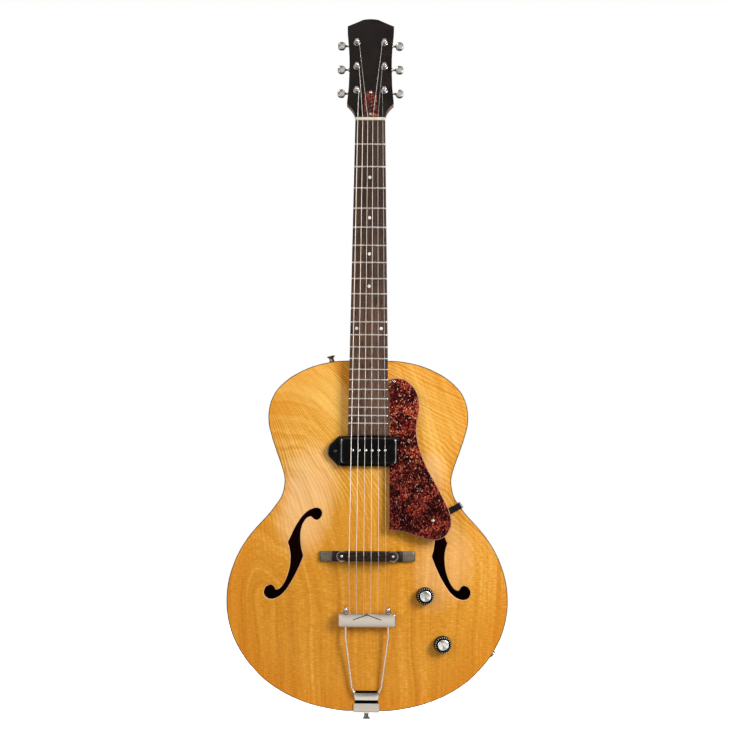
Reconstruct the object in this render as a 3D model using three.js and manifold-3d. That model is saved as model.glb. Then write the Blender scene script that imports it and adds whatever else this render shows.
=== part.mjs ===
// Archtop guitar: a hollow arched body with two f-shaped sound holes, a fixed
// neck, geared tuners, one single-coil pickup, a floating bridge and a hinged
// trapeze tailpiece. Millimetres. +Z points along the instrument towards the
// headstock, the front faces -Y, and +X is the treble side as seen from the
// front. The origin is at the nut, in the middle of the neck's thickness.
import * as THREE from "three";
import { mergeVertices } from "three/addons/utils/BufferGeometryUtils.js";
import Module from "manifold-3d";

const wasm = await Module();
wasm.setup();

// ---------------------------------------------------------------- dimensions
const DEG = Math.PI / 180;
const GAP = 0.3; // clearance between neighbouring pieces

const SCALE_LENGTH = 630.9; // nut to saddle
const FRET_COUNT = 21;
const NECK_TILT = 3.5 * DEG; // neck against the plane of the rim
const HEAD_TILT = 15.5 * DEG; // headstock face against the plane of the rim
const NUT_WIDTH = 43.6;
const NUT_DEPTH = 4.8;
const BOARD_LENGTH = 460.2;
const BOARD_END_WIDTH = 58.6;
const BOARD_THICKNESS = 6.5;
const BOARD_RADIUS = 406;
const BOARD_FRONT = -10.5; // y of the fingerboard's centre line at the nut
const NECK_THICKNESS_NUT = 21;
const NECK_THICKNESS_12 = 24;
const NECK_JOIN_Z = -350;

const RIM_FRONT = -15.1; // y of the front plate's edge
const RIM_BACK = 60.9; // y of the back plate's edge
const RIM_THICKNESS = 2.4;
const PLATE_THICKNESS = 4;
const ARCH_FRONT = 15;
const ARCH_BACK = 14;
const BODY_CENTRE_Z = -600;

const HEAD_THICKNESS = 14;
const VENEER_THICKNESS = 1.6;
const POST_X = 20.3;
const POST_V = [43.1, 82.1, 121.1]; // distances up the headstock face
const POST_RADIUS = 3;
const POST_HEIGHT = 9;
const KEY_RISE = 5.6; // worm axis above the post axis, towards the tip
const KEY_DEPTH = 22.4; // worm axis behind the headstock face
const BUTTON_OUT = 22.6; // button centre from the post axis

const SADDLE_Z = -632.4;
const STUD_X = 36.5;
const SADDLE_TOP_Y = -53.8;
const STRING_Y_SADDLE = -54.4;
const STRING_SPREAD_NUT = 36.6;
const STRING_SPREAD_SADDLE = 52.4;
const STRING_RADII = [0.14, 0.18, 0.25, 0.36, 0.48, 0.62]; // treble to bass

const PICKUP_AT_X = 1.2; // a little to the treble side
const PICKUP_Z = -482.4;
const PICKUP_HALF_X = 43.4;
const PICKUP_HALF_Z = 22.1;
const PICKUP_EAR_X = 59.6;
const PICKUP_TOP_Y = -40.6;

const BAR_Z = -723.8; // tailpiece crossbar
const BAR_Y = -38.8;
const HINGE_Z = -826.4;
const HINGE_Y = -21.4;
const ROD_X = 30.3;

const VOLUME_KNOB = [82.3, -688.3];
const TONE_KNOB = [108, -757.3];

// Half outline of the body, treble side, from the neck to the tail: [x, z].
const HALF_OUTLINE = [
  [0, -350.3], [28, -351.1], [45, -352], [63, -355], [80, -359.7], [97, -367],
  [114, -377], [124, -385.5], [133.8, -396.5], [138.4, -405.2],
  [141.6, -413.8], [143.3, -422.5], [144.1, -431], [143.8, -439.9],
  [142.6, -448.6], [140.1, -457.2], [137.8, -465.9], [134.7, -474.6],
  [131.9, -483.2], [128.6, -491.9], [125.6, -500.6], [122.8, -509.2],
  [120.6, -517.7], [119.9, -526], [120.9, -534.9], [122.9, -543.4],
  [126.9, -552.1], [133.3, -560.8], [139.5, -569.4], [147, -578],
  [155, -586.5], [162.6, -595.1], [169.6, -603.7], [175.6, -612.3],
  [181.1, -621], [185.6, -629.5], [189.6, -637.9], [192.8, -646.7],
  [195.8, -655.2], [198.1, -663.9], [199.9, -672.4], [201, -681],
  [201.6, -690], [201.8, -698.2], [201.4, -706.9], [200.6, -715.4],
  [199.2, -724.2], [197, -732.8], [194.5, -741.3], [191.3, -749.9],
  [187.2, -758.5], [182.5, -767.3], [177, -775.9], [170.8, -784.5],
  [163, -793.2], [155.1, -801.8], [145.5, -810.5], [133.6, -819.2],
  [120.7, -827.2], [103.6, -835.6], [86.4, -842.3], [68.8, -847.3],
  [51.2, -850.8], [34.1, -853.3], [17, -853.7], [0, -854],
];

// Bass-side sound hole, clockwise from the upper eye: [x, z]. The treble one
// is its mirror image.
const SOUND_HOLE = [
  [-72.5, -563.7], [-80.5, -565.5], [-86.4, -568.6], [-92.3, -574],
  [-101.4, -586.6], [-107.8, -598.9], [-110.8, -605.8], [-114.4, -613.3],
  [-112.3, -619.9], [-110.6, -630.1], [-110.6, -641.1], [-112.7, -654.3],
  [-118.5, -669.8], [-122.8, -676.6], [-127.4, -680.5], [-131.1, -681.2],
  [-132.6, -678.7], [-137.5, -674.1], [-144.1, -676.3], [-148.1, -682.5],
  [-146.3, -690.7], [-138, -694.6], [-130.5, -692.7], [-125.1, -689.6],
  [-119.9, -684.8], [-109.2, -669.5], [-101.2, -654.4], [-95, -640.2],
  [-92.1, -632.4], [-94.9, -622.1], [-96.4, -610], [-96.3, -598.6],
  [-94.8, -590.9], [-90.1, -581.4], [-86.8, -577.8], [-83.3, -576.3],
  [-80.1, -576.6], [-77.8, -579.5], [-72.3, -581], [-67.7, -577.8],
  [-65.4, -572.1], [-67.1, -566.3],
];

// Headstock half outline: [half width, distance up the face].
const HEAD_OUTLINE = [
  [21.7, 0.4], [23.8, 8.5], [28.6, 16.6], [34.2, 22.8], [34, 26],
  [33, 37.6], [32.1, 47.3], [31.6, 60], [31.2, 80], [31.3, 97],
  [32.2, 116], [33.4, 130.7], [34.3, 141], [34.3, 148.5], [18.3, 155.9],
  [11.2, 159.3], [0, 160.7],
];

// Pickguard outline in the plane of the fingerboard: [x, distance from nut].
const GUARD_OUTLINE = [
  [28.5, 379.8], [41, 377.6], [50.6, 379.2], [58.8, 384.5], [66.3, 392.5],
  [71.2, 403.1], [73.2, 413.9], [72.6, 425.5], [70.9, 437.1], [69.2, 448.6],
  [70, 461.9], [75.6, 484.9], [85.5, 508.7], [98.7, 532.3], [110.2, 554.4],
  [115.3, 565], [118.7, 576.4], [119.5, 586.2], [116.8, 595.2],
  [111.8, 602.6], [105.3, 607.6], [97.2, 609.5], [87.4, 609], [76, 606.1],
  [54.7, 598.9], [43.2, 596.9], [30, 595.7], [29.5, 506.2],
  [45.6, 506.2], [45.6, 459.8], [29.8, 459.8],
];

// ------------------------------------------------------------------- helpers
const V = (x, y, z) => new THREE.Vector3(x, y, z);

// A closed BufferGeometry as a solid for joining and cutting.
function solid(geometry) {
  const g = geometry.index ? geometry.toNonIndexed() : geometry.clone();
  const bare = new THREE.BufferGeometry().setAttribute(
    "position",
    g.getAttribute("position"),
  );
  const merged = mergeVertices(bare, 1e-4);
  const index = merged.index.array;
  const kept = [];
  for (let i = 0; i < index.length; i += 3)
    if (
      index[i] !== index[i + 1] &&
      index[i + 1] !== index[i + 2] &&
      index[i] !== index[i + 2]
    )
      kept.push(index[i], index[i + 1], index[i + 2]);
  const make = (tris) =>
    new wasm.Manifold(
      new wasm.Mesh({
        numProp: 3,
        vertProperties: new Float32Array(merged.attributes.position.array),
        triVerts: new Uint32Array(tris),
      }),
    );
  const made = make(kept);
  if (made.volume() >= 0) return made;
  for (let i = 0; i < kept.length; i += 3)
    [kept[i + 1], kept[i + 2]] = [kept[i + 2], kept[i + 1]];
  return make(kept);
}

function geometryOf(manifold) {
  const mesh = manifold.getMesh();
  const n = mesh.numProp;
  const points = new Float32Array((mesh.vertProperties.length / n) * 3);
  for (let i = 0; i < points.length / 3; i++)
    points.set(mesh.vertProperties.subarray(i * n, i * n + 3), i * 3);
  const g = new THREE.BufferGeometry()
    .setAttribute("position", new THREE.BufferAttribute(points, 3))
    .setIndex(new THREE.BufferAttribute(new Uint32Array(mesh.triVerts), 1));
  g.computeVertexNormals();
  return g;
}

const join = (first, ...rest) => rest.reduce((a, b) => a.add(b), first);
const cut = (first, ...rest) => rest.reduce((a, b) => a.subtract(b), first);

// A closed surface through rings of points with equal counts, capped at both
// ends, or joined end to end when it is a loop.
function loft(rings, loop = false) {
  const n = rings[0].length;
  const position = rings.flat().flatMap((p) => [p.x, p.y, p.z]);
  const index = [];
  const last = loop ? rings.length : rings.length - 1;
  for (let i = 0; i < last; i++) {
    const a = i * n;
    const b = ((i + 1) % rings.length) * n;
    for (let j = 0; j < n; j++) {
      const k = (j + 1) % n;
      index.push(a + j, b + j, b + k, a + j, b + k, a + k);
    }
  }
  if (!loop)
    for (const [start, flip] of [[0, true], [(rings.length - 1) * n, false]]) {
      const ring = rings[start / n];
      const centre = ring
        .reduce((s, p) => s.add(p), V(0, 0, 0))
        .multiplyScalar(1 / n);
      const c = position.length / 3;
      position.push(centre.x, centre.y, centre.z);
      for (let j = 0; j < n; j++) {
        const k = (j + 1) % n;
        if (flip) index.push(c, start + j, start + k);
        else index.push(c, start + k, start + j);
      }
    }
  const g = new THREE.BufferGeometry();
  g.setAttribute("position", new THREE.Float32BufferAttribute(position, 3));
  g.setIndex(index);
  return solid(g);
}

// A flat outline of [x, z] points, extruded from y0 to y1.
function prism(points, y0, y1) {
  const shape = new THREE.Shape(points.map(([x, z]) => new THREE.Vector2(x, z)));
  const g = new THREE.ExtrudeGeometry(shape, {
    depth: y1 - y0,
    bevelEnabled: false,
    steps: 1,
  });
  g.rotateX(Math.PI / 2).translate(0, y1, 0);
  return solid(g);
}

function box(x0, x1, y0, y1, z0, z1) {
  const g = new THREE.BoxGeometry(x1 - x0, y1 - y0, z1 - z0);
  g.translate((x0 + x1) / 2, (y0 + y1) / 2, (z0 + z1) / 2);
  return solid(g);
}

// A turned shape: profile of [radius, height] about an axis through origin.
function turned(profile, sides, origin = V(0, 0, 0), axis = V(0, 1, 0)) {
  const g = new THREE.LatheGeometry(
    profile.map(([r, h]) => new THREE.Vector2(r, h)),
    sides,
  );
  const q = new THREE.Quaternion().setFromUnitVectors(
    V(0, 1, 0),
    axis.clone().normalize(),
  );
  g.applyQuaternion(q).translate(origin.x, origin.y, origin.z);
  return solid(g);
}

const disc = (radius, h0, h1, sides, origin, axis) =>
  turned([[0, h0], [radius, h0], [radius, h1], [0, h1]], sides, origin, axis);

const tubeRing = (outer, inner, h0, h1, sides, origin, axis) =>
  turned(
    [[inner, h0], [outer, h0], [outer, h1], [inner, h1], [inner, h0]],
    sides,
    origin,
    axis,
  );

// A round bar along a polyline, with mitred corners.
function rod(points, radius, sides = 8, up = V(0.31, -0.9, 0.3)) {
  const rings = points.map((p, i) => {
    const before = i ? p.clone().sub(points[i - 1]).normalize() : null;
    const after =
      i < points.length - 1
        ? points[i + 1].clone().sub(p).normalize()
        : null;
    const along = (before && after ? before.clone().add(after) : before || after)
      .clone()
      .normalize();
    const direction = before || after;
    const side = V(0, 0, 0).crossVectors(up, direction).normalize();
    const other = V(0, 0, 0).crossVectors(direction, side).normalize();
    const ring = [];
    for (let j = 0; j < sides; j++) {
      const a = (j / sides) * 2 * Math.PI;
      const q = p
        .clone()
        .addScaledVector(side, Math.cos(a) * radius)
        .addScaledVector(other, Math.sin(a) * radius);
      // slide the point along the bar onto the mitre plane
      const t = p.clone().sub(q).dot(along) / direction.dot(along);
      ring.push(q.addScaledVector(direction, t));
    }
    return ring;
  });
  return loft(rings);
}

const parts = new THREE.Group();
const groups = {};
function group(name, parent = parts) {
  const g = new THREE.Group();
  g.name = name;
  parent.add(g);
  groups[name] = g;
  return g;
}

const FINISH = {
  maple: { color: 0xd9962f, roughness: 0.3, metalness: 0 },
  spruce: { color: 0xd8b37a, roughness: 0.7, metalness: 0 },
  neckwood: { color: 0xa8672b, roughness: 0.35, metalness: 0 },
  rosewood: { color: 0x3a211a, roughness: 0.55, metalness: 0 },
  veneer: { color: 0x17120f, roughness: 0.25, metalness: 0 },
  nickel: { color: 0xb9b6ae, roughness: 0.28, metalness: 1 },
  steel: { color: 0x8f9092, roughness: 0.35, metalness: 1 },
  bronze: { color: 0xb59a72, roughness: 0.35, metalness: 1 },
  black: { color: 0x121214, roughness: 0.2, metalness: 0 },
  bone: { color: 0xe8e0cc, roughness: 0.4, metalness: 0 },
  tortoise: { color: 0x4a1712, roughness: 0.15, metalness: 0 },
};
function mesh(name, body, finish, parent) {
  const m = new THREE.Mesh(
    geometryOf(body),
    new THREE.MeshStandardMaterial(FINISH[finish]),
  );
  m.name = name;
  parent.add(m);
  return m;
}

// ------------------------------------------------------------------- outline
const FULL_OUTLINE = [
  ...HALF_OUTLINE,
  ...HALF_OUTLINE.slice(1, -1).reverse().map(([x, z]) => [-x, z]),
];

// The points of a polyline that keep it within `tolerance` of itself.
function thinned(points, tolerance) {
  const [ax, az] = points[0];
  const [bx, bz] = points[points.length - 1];
  const l = Math.hypot(bx - ax, bz - az);
  let worst = 0;
  let at = 0;
  for (let i = 1; i < points.length - 1; i++) {
    const [x, z] = points[i];
    const d = Math.abs((x - ax) * (bz - az) - (z - az) * (bx - ax)) / l;
    if (d > worst) [worst, at] = [d, i];
  }
  if (worst <= tolerance) return [points[0], points[points.length - 1]];
  return [
    ...thinned(points.slice(0, at + 1), tolerance).slice(0, -1),
    ...thinned(points.slice(at), tolerance),
  ];
}
function bodyOutline(tolerance) {
  const side = thinned(HALF_OUTLINE, tolerance);
  return [...side, ...side.slice(1, -1).reverse().map(([x, z]) => [-x, z])];
}

const OUTLINE = bodyOutline(1.15);

// The outline moved inwards by d, along its normals.
function inset(points, d) {
  const n = points.length;
  return points.map(([x, z], i) => {
    const [ax, az] = points[(i + n - 1) % n];
    const [bx, bz] = points[(i + 1) % n];
    const l = Math.hypot(bx - ax, bz - az);
    // the outline runs clockwise seen from the front, so inwards is this way
    return [x + ((bz - az) / l) * d, z - ((bx - ax) / l) * d];
  });
}

// Radius of the outline from the body's centre, along a unit direction.
function edgeRadius(dx, dz) {
  let best = Infinity;
  for (let i = 0; i < FULL_OUTLINE.length; i++) {
    const [ax, az] = FULL_OUTLINE[i];
    const [bx, bz] = FULL_OUTLINE[(i + 1) % FULL_OUTLINE.length];
    const ex = bx - ax;
    const ez = bz - az;
    const det = dx * -ez + dz * ex;
    if (Math.abs(det) < 1e-9) continue;
    const px = ax;
    const pz = az - BODY_CENTRE_Z;
    const t = (px * -ez + pz * ex) / det;
    const u = (dx * pz - dz * px) / det;
    if (t > 0 && u >= -1e-6 && u <= 1 + 1e-6) best = Math.min(best, t);
  }
  return best;
}
// A smooth egg shape near the outline's size: the arch's contours pass from
// it at the middle to the outline at the edge.
const EGG = [0, 1, 2].map((k) => {
  let sum = 0;
  for (let i = 0; i < 360; i++) {
    const a = (i + 0.5) * DEG;
    sum += edgeRadius(Math.sin(a), Math.cos(a)) * Math.cos(k * a);
  }
  return (sum / 360) * (k ? 2 : 1);
});
function contourRadius(t, dx, dz, edge) {
  const a = Math.atan2(dx, dz);
  const egg = EGG[0] + EGG[1] * Math.cos(a) + EGG[2] * Math.cos(2 * a);
  const b = Math.pow(t, 1.6);
  return t * (b * edge + (1 - b) * egg);
}
// The contour that passes through (x, z): 0 at the centre, 1 at the edge.
function share(x, z) {
  const r = Math.hypot(x, z - BODY_CENTRE_Z);
  if (r < 1e-6) return 0;
  const dx = x / r;
  const dz = (z - BODY_CENTRE_Z) / r;
  const edge = edgeRadius(dx, dz);
  if (r >= edge) return 1;
  let low = 0;
  let high = 1;
  for (let i = 0; i < 34; i++) {
    const t = (low + high) / 2;
    if (contourRadius(t, dx, dz, edge) < r) low = t;
    else high = t;
  }
  return (low + high) / 2;
}
const archShape = (t) => (t >= 1 ? 0 : Math.pow(1 - Math.pow(t, 2.2), 1.5));
const frontY = (x, z) => RIM_FRONT - ARCH_FRONT * archShape(share(x, z));
const GLUE_SHARE = 0.95; // flat glue surface outside this share of the outline
const innerFrontY = (x, z) =>
  RIM_FRONT +
  PLATE_THICKNESS -
  ARCH_FRONT * archShape(Math.min(1, share(x, z) / GLUE_SHARE)) * 0.99;
function frontNormal(x, z) {
  const e = 4;
  const dx = (frontY(x + e, z) - frontY(x - e, z)) / (2 * e);
  const dz = (frontY(x, z + e) - frontY(x, z - e)) / (2 * e);
  return V(dx, -1, dz).normalize();
}

// ------------------------------------------------------------ neck and frames
// Down the fingerboard from the nut, and out of its surface.
const DOWN = V(0, -Math.sin(NECK_TILT), -Math.cos(NECK_TILT));
const OUT = V(0, -Math.cos(NECK_TILT), Math.sin(NECK_TILT));
const boardHalf = (s) =>
  (NUT_WIDTH + ((BOARD_END_WIDTH - NUT_WIDTH) * s) / BOARD_LENGTH) / 2;
const fretAt = (n) => SCALE_LENGTH * (1 - Math.pow(2, -n / 12));
const boardDrop = (x) =>
  BOARD_RADIUS - Math.sqrt(BOARD_RADIUS * BOARD_RADIUS - x * x);
// A point at x, depth behind the fingerboard's crown line, distance from nut.
const onNeck = (x, depth, s) =>
  V(x, BOARD_FRONT, 0).addScaledVector(DOWN, s).addScaledVector(OUT, -depth);
const neckAngle = (name, parent) => {
  const g = group(name, parent);
  g.position.set(0, BOARD_FRONT, 0);
  g.rotation.x = -NECK_TILT;
  return g;
};
const headAngle = (name, parent) => {
  const g = group(name, parent);
  g.position.set(0, -7, 5);
  g.rotation.x = -HEAD_TILT;
  return g;
};
const headMatrix = new THREE.Matrix4()
  .makeTranslation(0, -7, 5)
  .multiply(new THREE.Matrix4().makeRotationX(-HEAD_TILT));
const onHead = (x, depth, v) => V(x, depth, v).applyMatrix4(headMatrix);
const placed = (body, matrix) => {
  const g = geometryOf(body);
  g.applyMatrix4(matrix);
  g.deleteAttribute("normal");
  return solid(g);
};

// ====================================================================== body
const body = group("body");


// A carved plate: outer surface first, then inner, as scaled copies of the
// outline. sign is -1 for the front plate and +1 for the back plate.
function plate(edgeY, sign, height, outerSteps, innerSteps) {
  const position = [];
  const index = [];
  const n = OUTLINE.length;
  const ringOf = (t, y) =>
    OUTLINE.forEach(([x, z]) => {
      const edge = Math.hypot(x, z - BODY_CENTRE_Z);
      const dx = x / edge;
      const dz = (z - BODY_CENTRE_Z) / edge;
      const r = contourRadius(t, dx, dz, edge);
      position.push(dx * r, y, BODY_CENTRE_Z + dz * r);
    });
  const outer = (t) => edgeY + sign * height * archShape(t);
  const inner = (t) =>
    edgeY -
    sign * PLATE_THICKNESS +
    sign * height * archShape(Math.min(1, t / GLUE_SHARE)) * 0.99;
  const counts = [];
  position.push(0, outer(0), BODY_CENTRE_Z);
  outerSteps.forEach((t) => {
    counts.push(position.length / 3);
    ringOf(t, outer(t));
  });
  [...innerSteps].reverse().forEach((t) => {
    counts.push(position.length / 3);
    ringOf(t, inner(t));
  });
  const centre = position.length / 3;
  position.push(0, inner(0), BODY_CENTRE_Z);
  for (let j = 0; j < n; j++) index.push(0, counts[0] + j, counts[0] + ((j + 1) % n));
  for (let i = 0; i + 1 < counts.length; i++)
    for (let j = 0; j < n; j++) {
      const k = (j + 1) % n;
      const a = counts[i];
      const b = counts[i + 1];
      index.push(a + j, b + j, b + k, a + j, b + k, a + k);
    }
  const last = counts[counts.length - 1];
  for (let j = 0; j < n; j++) index.push(centre, last + ((j + 1) % n), last + j);
  const g = new THREE.BufferGeometry();
  g.setAttribute("position", new THREE.Float32BufferAttribute(position, 3));
  g.setIndex(index);
  return solid(g);
}

const mirrored = (points) => points.map(([x, z]) => [-x, z]).reverse();
const holeBass = prism(SOUND_HOLE, -50, 10);
const holeTreble = prism(mirrored(SOUND_HOLE), -50, 10);

const TENON_HALF = 11;
const TENON_END = -378;
const notch = box(-TENON_HALF - GAP, TENON_HALF + GAP, -40, 44.4, TENON_END - GAP, -340);
const pickupCut = box(PICKUP_AT_X - 41, PICKUP_AT_X + 41, -60, 5, PICKUP_Z - 18.5, PICKUP_Z + 18.5);
const potHoles = [VOLUME_KNOB, TONE_KNOB].map(([x, z]) =>
  disc(4.9, -12, 12, 12, V(x, frontY(x, z), z), frontNormal(x, z)),
);

const topPlate = cut(
  plate(RIM_FRONT, -1, ARCH_FRONT, [0.24, 0.45, 0.63, 0.78, 0.9, 1], [0.16, 0.34, 0.55, 0.76, 0.95, 1]),
  holeBass,
  holeTreble,
  box(-TENON_HALF - GAP, TENON_HALF + GAP, -40, 5, TENON_END - GAP, -340),
  pickupCut,
  ...potHoles,
);
mesh("top_plate", topPlate, "maple", body);
mesh(
  "back_plate",
  plate(RIM_BACK, 1, ARCH_BACK, [0.25, 0.48, 0.68, 0.84, 1], [0.3, 0.56, 0.78, 0.95, 1]),
  "maple",
  body,
);

// A band that follows the outline between two insets and two heights.
function band(inner, outer, y0, y1, points) {
  const a = inset(points, outer);
  const b = inset(points, inner);
  return loft(
    points.map((_, i) => [
      V(a[i][0], y0, a[i][1]),
      V(a[i][0], y1, a[i][1]),
      V(b[i][0], y1, b[i][1]),
      V(b[i][0], y0, b[i][1]),
    ]),
    true,
  );
}
const RIM_Y0 = RIM_FRONT + PLATE_THICKNESS + 0.15;
const RIM_Y1 = RIM_BACK - PLATE_THICKNESS - 0.15;

// outward normal of the outline near a point on it
function edgeAt(x0, z0) {
  let best = null;
  for (let i = 0; i < OUTLINE.length; i++) {
    const [ax, az] = OUTLINE[i];
    const [bx, bz] = OUTLINE[(i + 1) % OUTLINE.length];
    const l2 = (bx - ax) ** 2 + (bz - az) ** 2;
    const u = Math.min(1, Math.max(0, ((x0 - ax) * (bx - ax) + (z0 - az) * (bz - az)) / l2));
    const px = ax + (bx - ax) * u;
    const pz = az + (bz - az) * u;
    const d = Math.hypot(px - x0, pz - z0);
    if (!best || d < best.d) {
      const l = Math.sqrt(l2);
      best = { d, at: V(px, 0, pz), out: V(-(bz - az) / l, 0, (bx - ax) / l) };
    }
  }
  return best;
}
const JACK = edgeAt(178.5, -771.6);
const JACK_Y = 23;
const jackAt = V(JACK.at.x, JACK_Y, JACK.at.z);
const STRAP = edgeAt(-53, -353);
const strapAt = V(STRAP.at.x, JACK_Y, STRAP.at.z);
const tailAt = V(0, JACK_Y, -854);
const GUARD_FOOT = edgeAt(131.5, -558.3);
const guardFootAt = V(GUARD_FOOT.at.x, 2, GUARD_FOOT.at.z);

const rim = cut(
  band(RIM_THICKNESS, 0, RIM_Y0, RIM_Y1, OUTLINE),
  notch,
  disc(5.6, -12, 8, 14, jackAt, JACK.out),
  disc(2.3, -12, 8, 8, strapAt, STRAP.out),
  disc(2.3, -12, 8, 8, tailAt, V(0, 0, -1)),
);
mesh("rim", rim, "maple", body);

// Linings glue the plates to the rim. The neck block interrupts them.
const BLOCK_HALF = 32;
const blockGap = box(-BLOCK_HALF - 0.5, BLOCK_HALF + 0.5, -40, 80, -405, -340);
mesh(
  "top_lining",
  cut(band(RIM_THICKNESS + 6, RIM_THICKNESS + 0.4, RIM_Y0, RIM_Y0 + 13, OUTLINE), blockGap),
  "spruce",
  body,
);
mesh(
  "back_lining",
  cut(band(RIM_THICKNESS + 6, RIM_THICKNESS + 0.4, RIM_Y1 - 13, RIM_Y1, OUTLINE), blockGap),
  "spruce",
  body,
);

mesh(
  "neck_block",
  cut(box(-BLOCK_HALF, BLOCK_HALF, RIM_Y0, RIM_Y1, -402, -355.2), notch),
  "spruce",
  body,
);
mesh(
  "tail_block",
  cut(
    box(-34, 34, RIM_Y0 + 13.3, RIM_Y1 - 13.3, -848.6, -826),
    disc(2.3, -12, 28, 8, V(0, JACK_Y, -854), V(0, 0, 1)),
  ),
  "spruce",
  body,
);

// Tone bars follow the underside of the front plate beside the pickup.
function toneBar(side) {
  const stations = [-412, -450, -500, -550, -600, -650, -700, -750, -795];
  return loft(
    stations.map((z, i) => {
      const x = side * (49.5 + ((z + 412) / -383) * 4);
      const top = Math.max(innerFrontY(x - 4, z), innerFrontY(x + 4, z)) + 1.6;
      const h = i === 0 || i === stations.length - 1 ? 4 : 11;
      return [V(x - 4, top, z), V(x + 4, top, z), V(x + 3, top + h, z), V(x - 3, top + h, z)];
    }),
  );
}
mesh("tone_bar_bass", toneBar(-1), "spruce", body);
mesh("tone_bar_treble", toneBar(1), "spruce", body);

// ====================================================================== neck
const neckGroup = group("neck_assembly");
const neckDepth = (s) =>
  NECK_THICKNESS_NUT +
  ((NECK_THICKNESS_12 - NECK_THICKNESS_NUT) * Math.max(0, Math.min(s, 300))) / 315.5;
const CURVE = 8;
// D section: flat front at `front` behind the crown line, round back.
function neckRing(s, half, front, back, power = 0.82) {
  const ring = [onNeck(-half, front, s), onNeck(half, front, s)];
  for (let j = 1; j < CURVE; j++) {
    const a = (j / CURVE) * Math.PI;
    ring.push(
      onNeck(
        half * Math.sign(Math.cos(a)) * Math.pow(Math.abs(Math.cos(a)), 0.9),
        front + 1 + (back - front - 1) * Math.pow(Math.sin(a), power),
        s,
      ),
    );
  }
  return ring;
}
const NECK_FACE = BOARD_THICKNESS + 0.1;
const shaft = loft(
  [0.5, 60, 140, 220, 290].map((s) =>
    neckRing(s, boardHalf(s) - 0.1, NECK_FACE, neckDepth(s)),
  ).concat([
    neckRing(312, boardHalf(312) - 0.1, NECK_FACE, 26.5),
    neckRing(326, boardHalf(326) - 0.1, NECK_FACE, 34),
    neckRing(334, boardHalf(334) - 0.1, NECK_FACE, 46),
  ]),
);
// Heel: sections stacked along z, down to the body.
function heelRing(z, half, back, taper) {
  const front = onNeck(0, NECK_FACE, -z / Math.cos(NECK_TILT)).y;
  const ring = [V(-half, front, z), V(half, front, z)];
  for (let j = 1; j < CURVE; j++) {
    const a = (j / CURVE) * Math.PI;
    const w = half * (1 - taper * Math.sin(a));
    ring.push(
      V(
        w * Math.sign(Math.cos(a)) * Math.pow(Math.abs(Math.cos(a)), 0.55),
        front + 1 + (back - front - 1) * Math.pow(Math.sin(a), 0.7),
        z,
      ),
    );
  }
  return ring;
}
const heel = loft([
  heelRing(-322, boardHalf(322) - 0.2, 8, 0),
  heelRing(-334, boardHalf(334) - 0.2, 25, 0.1),
  heelRing(-341, boardHalf(341) - 0.2, 42, 0.25),
  heelRing(-346, boardHalf(346) - 0.2, 52, 0.35),
  heelRing(-350, boardHalf(350) - 0.2, 55, 0.4),
]);
// The ledge under the nut, and the run-out into the headstock.
const ledge = loft([
  neckRing(-5, NUT_WIDTH / 2 - 0.1, BOARD_THICKNESS + 0.1, NECK_THICKNESS_NUT),
  neckRing(1, NUT_WIDTH / 2 - 0.1, BOARD_THICKNESS + 0.1, NECK_THICKNESS_NUT),
]);
function headRing(v, half, back) {
  const ring = [onHead(-half, VENEER_THICKNESS + 0.3, v), onHead(half, VENEER_THICKNESS + 0.3, v)];
  for (let j = 1; j < CURVE; j++) {
    const a = (j / CURVE) * Math.PI;
    ring.push(
      onHead(
        half * Math.sign(Math.cos(a)) * Math.pow(Math.abs(Math.cos(a)), 0.8),
        VENEER_THICKNESS + 1.3 + (back - VENEER_THICKNESS - 1.3) * Math.pow(Math.sin(a), 0.75),
        v,
      ),
    );
  }
  return ring;
}
const runOut = loft([
  neckRing(-4.7, NUT_WIDTH / 2 - 0.1, BOARD_THICKNESS + 1, NECK_THICKNESS_NUT),
  headRing(9, 22.6, 17.2),
  headRing(20, 27, 15),
  headRing(30, 28, HEAD_THICKNESS - 0.5),
]);
const headShape = [
  ...HEAD_OUTLINE,
  ...HEAD_OUTLINE.slice(0, -1).reverse().map(([x, v]) => [-x, v]),
];
const headWood = placed(prism(headShape, VENEER_THICKNESS + 0.1, HEAD_THICKNESS), headMatrix);
// Tongue under the end of the fingerboard, fitted over the arched front.
const tongueZ = [-349.5, -366, -384, -402, -420, -440, -457];
const tongue = loft(
  tongueZ.map((z) => {
    const s = -z / Math.cos(NECK_TILT);
    const h = boardHalf(s) - 0.4;
    const y = onNeck(0, NECK_FACE, s).y;
    const low = (x) => (z > -352 ? RIM_FRONT - 0.4 : frontY(x, z) - 0.4);
    return [V(-h, y, z), V(h, y, z), V(h, low(h), z), V(0, low(0) - 0.1, z), V(-h, low(h), z)];
  }),
);
const tenon = box(-TENON_HALF, TENON_HALF, -23, 44, TENON_END, -349);
const rodChannel = loft([
  [onNeck(-3.4, 6, 1), onNeck(3.4, 6, 1), onNeck(3.4, 15, 1), onNeck(-3.4, 15, 1)],
  [onNeck(-3.4, 6, 405), onNeck(3.4, 6, 405), onNeck(3.4, 15, 405), onNeck(-3.4, 15, 405)],
]);
const rodBore = disc(3.1, -30, 30, 10, onNeck(0, 10.3, 0), DOWN);
const nutPocket = placed(box(-6.8, 6.8, -4, 11, 2, 30), headMatrix);
const postHoles = [-1, 1].flatMap((side) =>
  POST_V.map((v) =>
    disc(POST_RADIUS + 0.5, -20, 30, 10, onHead(side * POST_X, 0, v), V(0, 1, 0).transformDirection(headMatrix)),
  ),
);
const neck = cut(
  join(shaft, heel, ledge, runOut, headWood, tongue, tenon),
  rodChannel,
  rodBore,
  nutPocket,
  ...postHoles,
);
mesh("neck", neck, "neckwood", neckGroup);

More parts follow.
